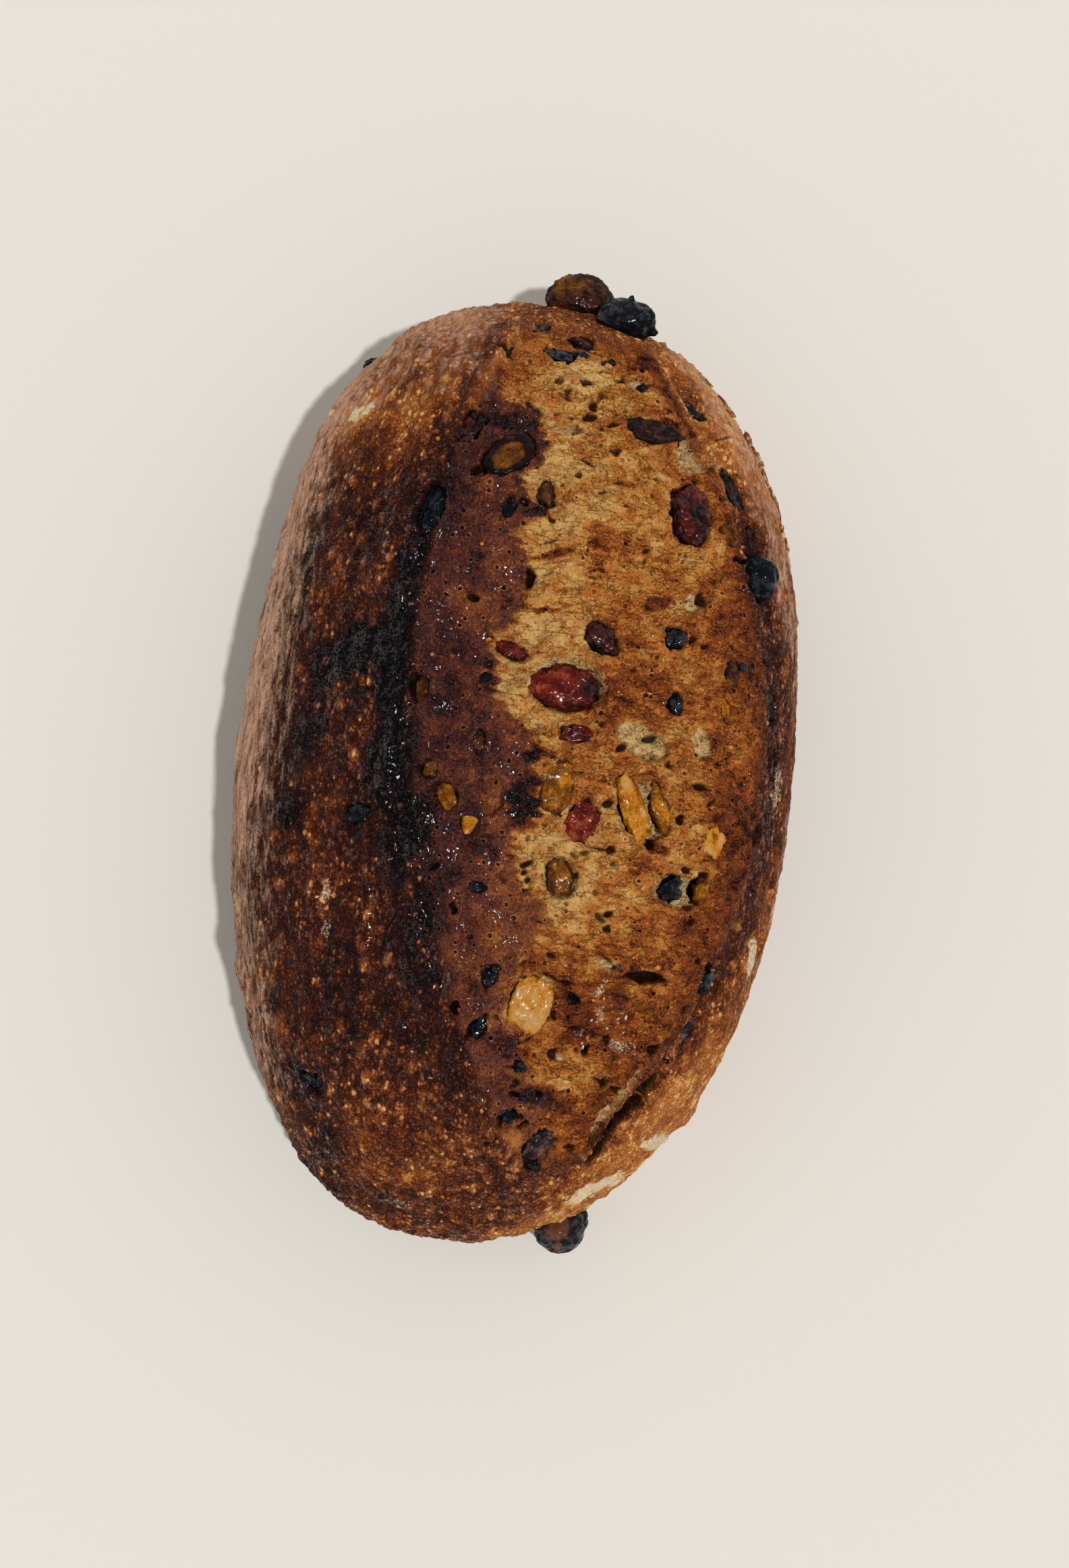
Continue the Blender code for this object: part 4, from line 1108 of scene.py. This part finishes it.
def ripeness_and_shade(fruit, tone, directions, surface, crease, seed):
    """The tone of each point of a fruit: darker in its folds and round its edge, which is painted
    shade, and at its marks.
    """
    # Darker down in the folds: painted shade.
    ripe = tone + 0.25 * lumps(surface, 3.0, seed=120 + seed) - 0.5 * (0.2 - np.minimum(crease, 0.2))
    u, v = directions[:, 0], directions[:, 1]
    out = np.hypot(u, v)
    for across, along, width, change in MARKS.get(fruit.name, ()):
        ripe += change * bell(np.hypot(u - across, v - along), width)
    # Darker round the edge, where the fruit sinks into its pocket: painted shade.
    ripe -= 0.2 * smooth_step(0.7, 1.0, out)
    if fruit.name in BLACK_ARCS:
        arcs = smooth_step(0.5, 0.8, out) * smooth_step(-0.3, 0.1, lumps(directions, 0.8, seed=9))
        ripe -= BLACK_ARCS[fruit.name] * arcs
    return ripe


def fruit_piece(fruit, seed):
    """A round body with creased skin, blocky or plump, flattened on top where the dough pressed it."""
    kind = fruit.name.split("_")[0]
    top, tone = FRUITS_APART.get(fruit.name, (FRUIT_TOPS[kind], FRUIT_TONES[kind]))
    plump = fruit.name in FULLER
    smooth = plump or fruit.name in RIM_NAMES or fruit.half[0] > LARGE_FRUIT
    half = fruit.half * FULLER.get(fruit.name, (1, 1, 1))
    shape = bmesh.new()
    bmesh.ops.create_icosphere(shape, subdivisions=5 if fruit.half[0] > 4.4 else 4, radius=1)
    directions = np.array([vertex.co for vertex in shape.verts])
    draw = np.random.default_rng(seed)
    squareness = SQUARER.get(fruit.name, 1.0 if smooth else draw.uniform(0.62, 1.0))
    surface = np.abs(directions) ** squareness * np.sign(directions) * half

    wrinkle = 1.0 if plump else FRUIT_WRINKLES[kind]
    crease = np.abs(lumps(surface, 2.0, stretch=(1.8, 1, 1), seed=20 + seed))
    fold = wrinkle * (np.minimum(crease, 0.25) - 0.2)
    fold += (0.12 if plump else 0.5) * lumps(surface, 0.8, seed=80 + seed)
    outline = (0.15 if smooth else 0.42) * lumps(directions, 0.7, seed=40 + seed)
    surface *= (1 + outline + fold / half.mean())[:, None]

    roof = top * half[2]
    level = np.tanh(np.maximum(surface[:, 2], 0) / roof) * roof
    crumple = (0.1 if plump else 0.35) * wrinkle * ridged(surface, 1.5, seed=160 + seed)
    level += smooth_step(0.4, 0.9, level / roof) * crumple
    surface[:, 2] = np.where(surface[:, 2] > 0, level, surface[:, 2])
    places = surface @ fruit.axes + fruit.middle
    for across, along, height, reach in STEM_ENDS.get(fruit.name, ()):
        way = np.array((across, along, height)) - fruit.middle
        way /= np.linalg.norm(way)
        outward = (places - fruit.middle) / np.linalg.norm(places - fruit.middle, axis=1)[:, None]
        places += reach * bell(1 - outward @ way, 0.012)[:, None] * way
    move(shape.verts, (places + LOAF_MIDDLE) * MM)
    bmesh.ops.recalc_face_normals(shape, faces=shape.faces)
    mesh = mesh_of(shape, fruit.name + "_skin")
    paint(mesh, "ripe", ripeness_and_shade(fruit, tone, directions, surface, crease, seed))
    return link_piece(fruit.name + "_skin", mesh, fruit_looks[kind], kind + "_skin", fruit.name)


for seed, name in enumerate(sorted(fruits)):
    fruit_piece(fruits[name], seed)

# ---------------------------------------------------------------------------------------------------
# The currants: small black ones, pressed flat in the burst. Each row is across, along, length, width,
# turn in degrees. They are one mesh, and lie on the crust below their places.
CURRANTS = (
    (19.7, 85.7, 3.2, 2.6, 20), (-7.8, 13.7, 3.2, 3.0, 0), (-4.8, -31.3, 3.8, 2.8, 0),
    (7.7, -68.2, 4.0, 3.0, -20), (5.0, -78.6, 4.4, 3.6, -20), (13, -89.6, 5.0, 3.2, 10),
    (48, 24, 2.2, 2.0, 0), (-27, -13, 1.6, 1.4, 0), (12.5, 90.5, 1.8, 1.5, 0), (4.5, 91.5, 5.6, 2.6, -8),
)
CURRANT_THICKNESS = 1.5
CURRANT_TONE = 0.2


def over_loaf(x, y):
    """The highest point of the sheets at this place, and the way it faces."""
    start = Vector(((x, y, 120) + LOAF_MIDDLE) * MM)
    hits = [sheet.ray_cast(start, Vector((0, 0, -1))) for sheet in loaf_sheets]
    return max((hit[1:3] for hit in hits if hit[0]), key=lambda hit: hit[0].z)


def set_on_loaf(rows, thickness, rings, wrinkle, seed):
    """A small wrinkled body for each row, half sunk into the crust."""
    shape = bmesh.new()
    for index, (across, along, length, width, turn) in enumerate(rows):
        made = bmesh.ops.create_icosphere(shape, subdivisions=rings, radius=1)["verts"]
        point, normal = over_loaf(across, along)
        lean = Vector((0, 0, 1)).rotation_difference(normal).to_matrix()
        lean = lean @ Matrix.Rotation(math.radians(turn), 3, "Z")
        half = np.array([length / 2, width / 2, thickness / 2])
        surface = np.array([vertex.co for vertex in made]) * half
        swell = 1 + wrinkle * lumps(surface, 0.9, seed=seed + index) / half.mean()
        move(made, [point + lean @ Vector(place * MM) for place in surface * swell[:, None]])
    bmesh.ops.recalc_face_normals(shape, faces=shape.faces)
    return shape


currants = set_on_loaf(CURRANTS, CURRANT_THICKNESS, rings=4, wrinkle=0.45, seed=200)
currant_mesh = mesh_of(currants, "currants")
paint(currant_mesh, "ripe", np.full(len(currant_mesh.vertices), CURRANT_TONE))
link_piece("currants", currant_mesh, fruit_looks["raisin"], "raisin_skin")

# ---------------------------------------------------------------------------------------------------
# The fig seeds: tiny amber seeds that stick to the crust, with a few pale specks of the same size.
FIG_SEEDS = (
    (-19.5, 69.1, 1.4, 1.2, 0), (-24, 66.4, 1.1, 1.0, 0), (-11.7, 43.0, 0.9, 0.9, 0),
    (47.0, 5.9, 1.3, 1.1, 0), (35.4, -44.1, 1.5, 1.3, 0), (-8.1, 22.4, 1.4, 0.9, 20),
    (21, 14, 0.8, 0.8, 0), (-16, 71, 1.0, 0.9, 0), (-11.5, 87.5, 2.6, 1.8, 70), (30, -42.5, 0.9, 0.8, 0),
    (11, -22, 0.8, 0.7, 0), (-20, 18, 0.9, 0.8, 0), (44, -8, 0.9, 0.8, 0), (-31, -96, 1.0, 1.0, 0),
)
SEED_THICKNESS = 0.9
SEED_TONE = 0.82
seeds = set_on_loaf(FIG_SEEDS, SEED_THICKNESS, rings=2, wrinkle=0.05, seed=240)
seed_mesh = mesh_of(seeds, "fig_seeds")
paint(seed_mesh, "ripe", np.full(len(seed_mesh.vertices), SEED_TONE))
link_piece("fig_seeds", seed_mesh, fruit_looks["sultana"], "sultana_skin")

# ---------------------------------------------------------------------------------------------------
# The loose flakes: papery scraps of skin that stand off the far right edge, and floury flecks that lie
# on the burst. Both are dough, in one mesh, with the crust's own finish at its palest. Rows of flecks
# are across, along, how far they spread, and how many.
EDGE_FLAKES = 18
FLAKE_LENGTHS = (1.6, 4.2)  # half lengths, half widths and half the thickness
FLAKE_WIDTHS = (0.5, 1.2)
FLAKE_THICKNESS = 0.10
FLAKE_SEED = 5
FLECKS = (
    (24, -51, 3, 9), (26, -56, 3, 12), (30, -61, 4, 12), (22, -61, 2, 7), (17, -66, 1.5, 4),
    (-1.5, -60, 2, 5), (-37.4, -36, 3, 9), (5, 42, 3, 3), (12, -45, 5, 5), (-12, -70, 4, 3),
)
FLECK_THICKNESS = 0.4


def edge_places(draw):
    """Places on the far right edge, with the ways out of the loaf there and along it."""
    tip = tip_at(draw.uniform(56, 106, EDGE_FLAKES))
    angle = draw.uniform(0.02, 0.40, EDGE_FLAKES)
    middle, ahead = plain_loaf(tip, angle), plain_loaf(tip + 0.01, angle)
    above = plain_loaf(tip, angle + 0.01)
    along = ahead - middle
    along /= np.linalg.norm(along, axis=1)[:, None]
    out = np.cross(along, above - middle)
    out /= np.linalg.norm(out, axis=1)[:, None]
    return middle, np.where(out[:, :1] < 0, -out, out), along


draw = np.random.default_rng(FLAKE_SEED)
flakes = bmesh.new()
for middle, out, along in zip(*edge_places(draw)):
    made = bmesh.ops.create_icosphere(flakes, subdivisions=3, radius=1)["verts"]
    half = np.array([draw.uniform(*FLAKE_LENGTHS), draw.uniform(*FLAKE_WIDTHS), FLAKE_THICKNESS])
    surface = np.array([vertex.co for vertex in made])
    curl = 0.8 * lumps(surface, 0.9, seed=300 + draw.integers(90))
    surface = surface * half * (1 + 0.5 * lumps(surface, 0.6, seed=320))[:, None]
    surface[:, 2] += curl
    lean = draw.uniform(0.2, 1.1)
    side = np.cross(out, along)
    outward = side * math.cos(lean) + out * math.sin(lean)
    upward = out * math.cos(lean) - side * math.sin(lean)
    centre = middle + out * (0.3 + 0.7 * half[1] * math.sin(lean))
    move(made, (centre + surface @ np.array([along, outward, upward]) + LOAF_MIDDLE) * MM)
bmesh.ops.recalc_face_normals(flakes, faces=flakes.faces)
flake_mesh = mesh_of(flakes, "loose_flakes")
fleck_rows = [(across + draw.normal(0, spread / 2), along + draw.normal(0, spread / 2),
               draw.uniform(0.5, 1.3), draw.uniform(0.35, 0.7), draw.uniform(0, 180))
              for across, along, spread, count in FLECKS for _ in range(count)]
flecks = set_on_loaf(fleck_rows, FLECK_THICKNESS, rings=2, wrinkle=0.08, seed=340)
flecks.from_mesh(flake_mesh)
flecks.to_mesh(flake_mesh)
flecks.free()
flake_tones = 0.5 + 1.6 * lumps(np.array([vertex.co for vertex in flake_mesh.vertices]) / MM, 2.0, seed=350)
for name, low, high in (("bake", 0.1, 0.4), ("flour", 0.3, 1.0)):
    paint(flake_mesh, name, np.clip(low + (high - low) * flake_tones, 0, 1))
link_piece("loose_flakes", flake_mesh, crust_look, "crust")

# ---------------------------------------------------------------------------------------------------
# The stage: a plain pale floor, a camera almost straight above, a soft key light from the near right,
# and a pale surround. They aren't part of the loaf.
FLOOR_SIZE = 8.0
FLOOR_COLOUR = (0.80, 0.79, 0.75, 1)
floor_shape = bmesh.new()
bmesh.ops.create_grid(floor_shape, x_segments=1, y_segments=1, size=FLOOR_SIZE / 2)
floor_mesh = mesh_of(floor_shape, "floor")
floor = bpy.data.objects.new("floor", floor_mesh)
bpy.context.scene.collection.objects.link(floor)
floor_look = bpy.data.materials.new("pale_floor")
floor_look.use_nodes = True
floor_shader = floor_look.node_tree.nodes["Principled BSDF"]
floor_shader.inputs["Base Color"].default_value = FLOOR_COLOUR
floor_shader.inputs["Roughness"].default_value = 0.9
floor_mesh.materials.append(floor_look)

PHOTO_WIDTH, PHOTO_HEIGHT = 1585, 2324
VIEW_TURN = math.radians(5.9)  # the loaf's length leans this much in the picture
VIEW_TILT = math.radians(6)  # off straight down, towards the near end
VIEW_DISTANCE = 600
PIXEL_SIZE = 0.1577  # mm on the loaf at its girth height
LOAF_PIXEL = (766, 1141)  # where the loaf's middle is in the picture
SENSOR_WIDTH = 36
right = Vector((math.cos(VIEW_TURN), math.sin(VIEW_TURN), 0))
ahead = Vector((-math.sin(VIEW_TURN), math.cos(VIEW_TURN), 0))
down = Vector((0, 0, -1)) * math.cos(VIEW_TILT) + ahead * math.sin(VIEW_TILT)
up = ahead * math.cos(VIEW_TILT) + Vector((0, 0, 1)) * math.sin(VIEW_TILT)
aim = Vector((0, 0, GIRTH_HEIGHT)) + right * (PHOTO_WIDTH / 2 - LOAF_PIXEL[0]) * PIXEL_SIZE
aim -= ahead * (PHOTO_HEIGHT / 2 - LOAF_PIXEL[1]) * PIXEL_SIZE
seat = (aim - down * VIEW_DISTANCE + Vector(LOAF_MIDDLE)) * MM
camera_data = bpy.data.cameras.new("camera")
camera_data.sensor_width = SENSOR_WIDTH
camera_data.lens = SENSOR_WIDTH * VIEW_DISTANCE / (PHOTO_HEIGHT * PIXEL_SIZE)
camera = bpy.data.objects.new("camera", camera_data)
camera.matrix_world = Matrix.Translation(seat) @ Matrix((right, up, -down)).transposed().to_4x4()
bpy.context.scene.collection.objects.link(camera)
bpy.context.scene.camera = camera

KEY_TURN = math.radians(-35)
KEY_HEIGHT = math.radians(72)
KEY_WIDTH = math.radians(2.2)
KEY_STRENGTH = 1.75
KEY_COLOUR = (1.0, 0.98, 0.95)
key_data = bpy.data.lights.new("key", "SUN")
key_data.energy = KEY_STRENGTH
key_data.angle = KEY_WIDTH
key_data.color = KEY_COLOUR
key = bpy.data.objects.new("key", key_data)
towards = Vector((math.cos(KEY_TURN) * math.cos(KEY_HEIGHT), math.sin(KEY_TURN) * math.cos(KEY_HEIGHT),
                  math.sin(KEY_HEIGHT)))
key.rotation_euler = towards.to_track_quat("Z", "Y").to_euler()
bpy.context.scene.collection.objects.link(key)

# The surround is brightest near the horizon, so that it fills the sides and leaves the top deep.
SURROUND = (
    (0.0, (0.80, 0.76, 0.70, 1)), (0.4, (0.70, 0.67, 0.62, 1)), (0.74, (0.60, 0.57, 0.53, 1)),
    (0.90, (0.14, 0.13, 0.13, 1)), (1.0, (0.07, 0.07, 0.07, 1)),
)
world = bpy.data.worlds.new("surround")
world.use_nodes = True
world_tree = world.node_tree
look = node(world_tree, "TexCoord").outputs["Generated"]
look_up = node(world_tree, "SeparateXYZ", {0: look}).outputs["Z"]
feed(world_tree, world_tree.nodes["Background"].inputs["Color"], ramp(world_tree, look_up, SURROUND))
world_tree.nodes["Background"].inputs["Strength"].default_value = 1.0
bpy.context.scene.world = world
bpy.context.scene.view_settings.view_transform = "Standard"
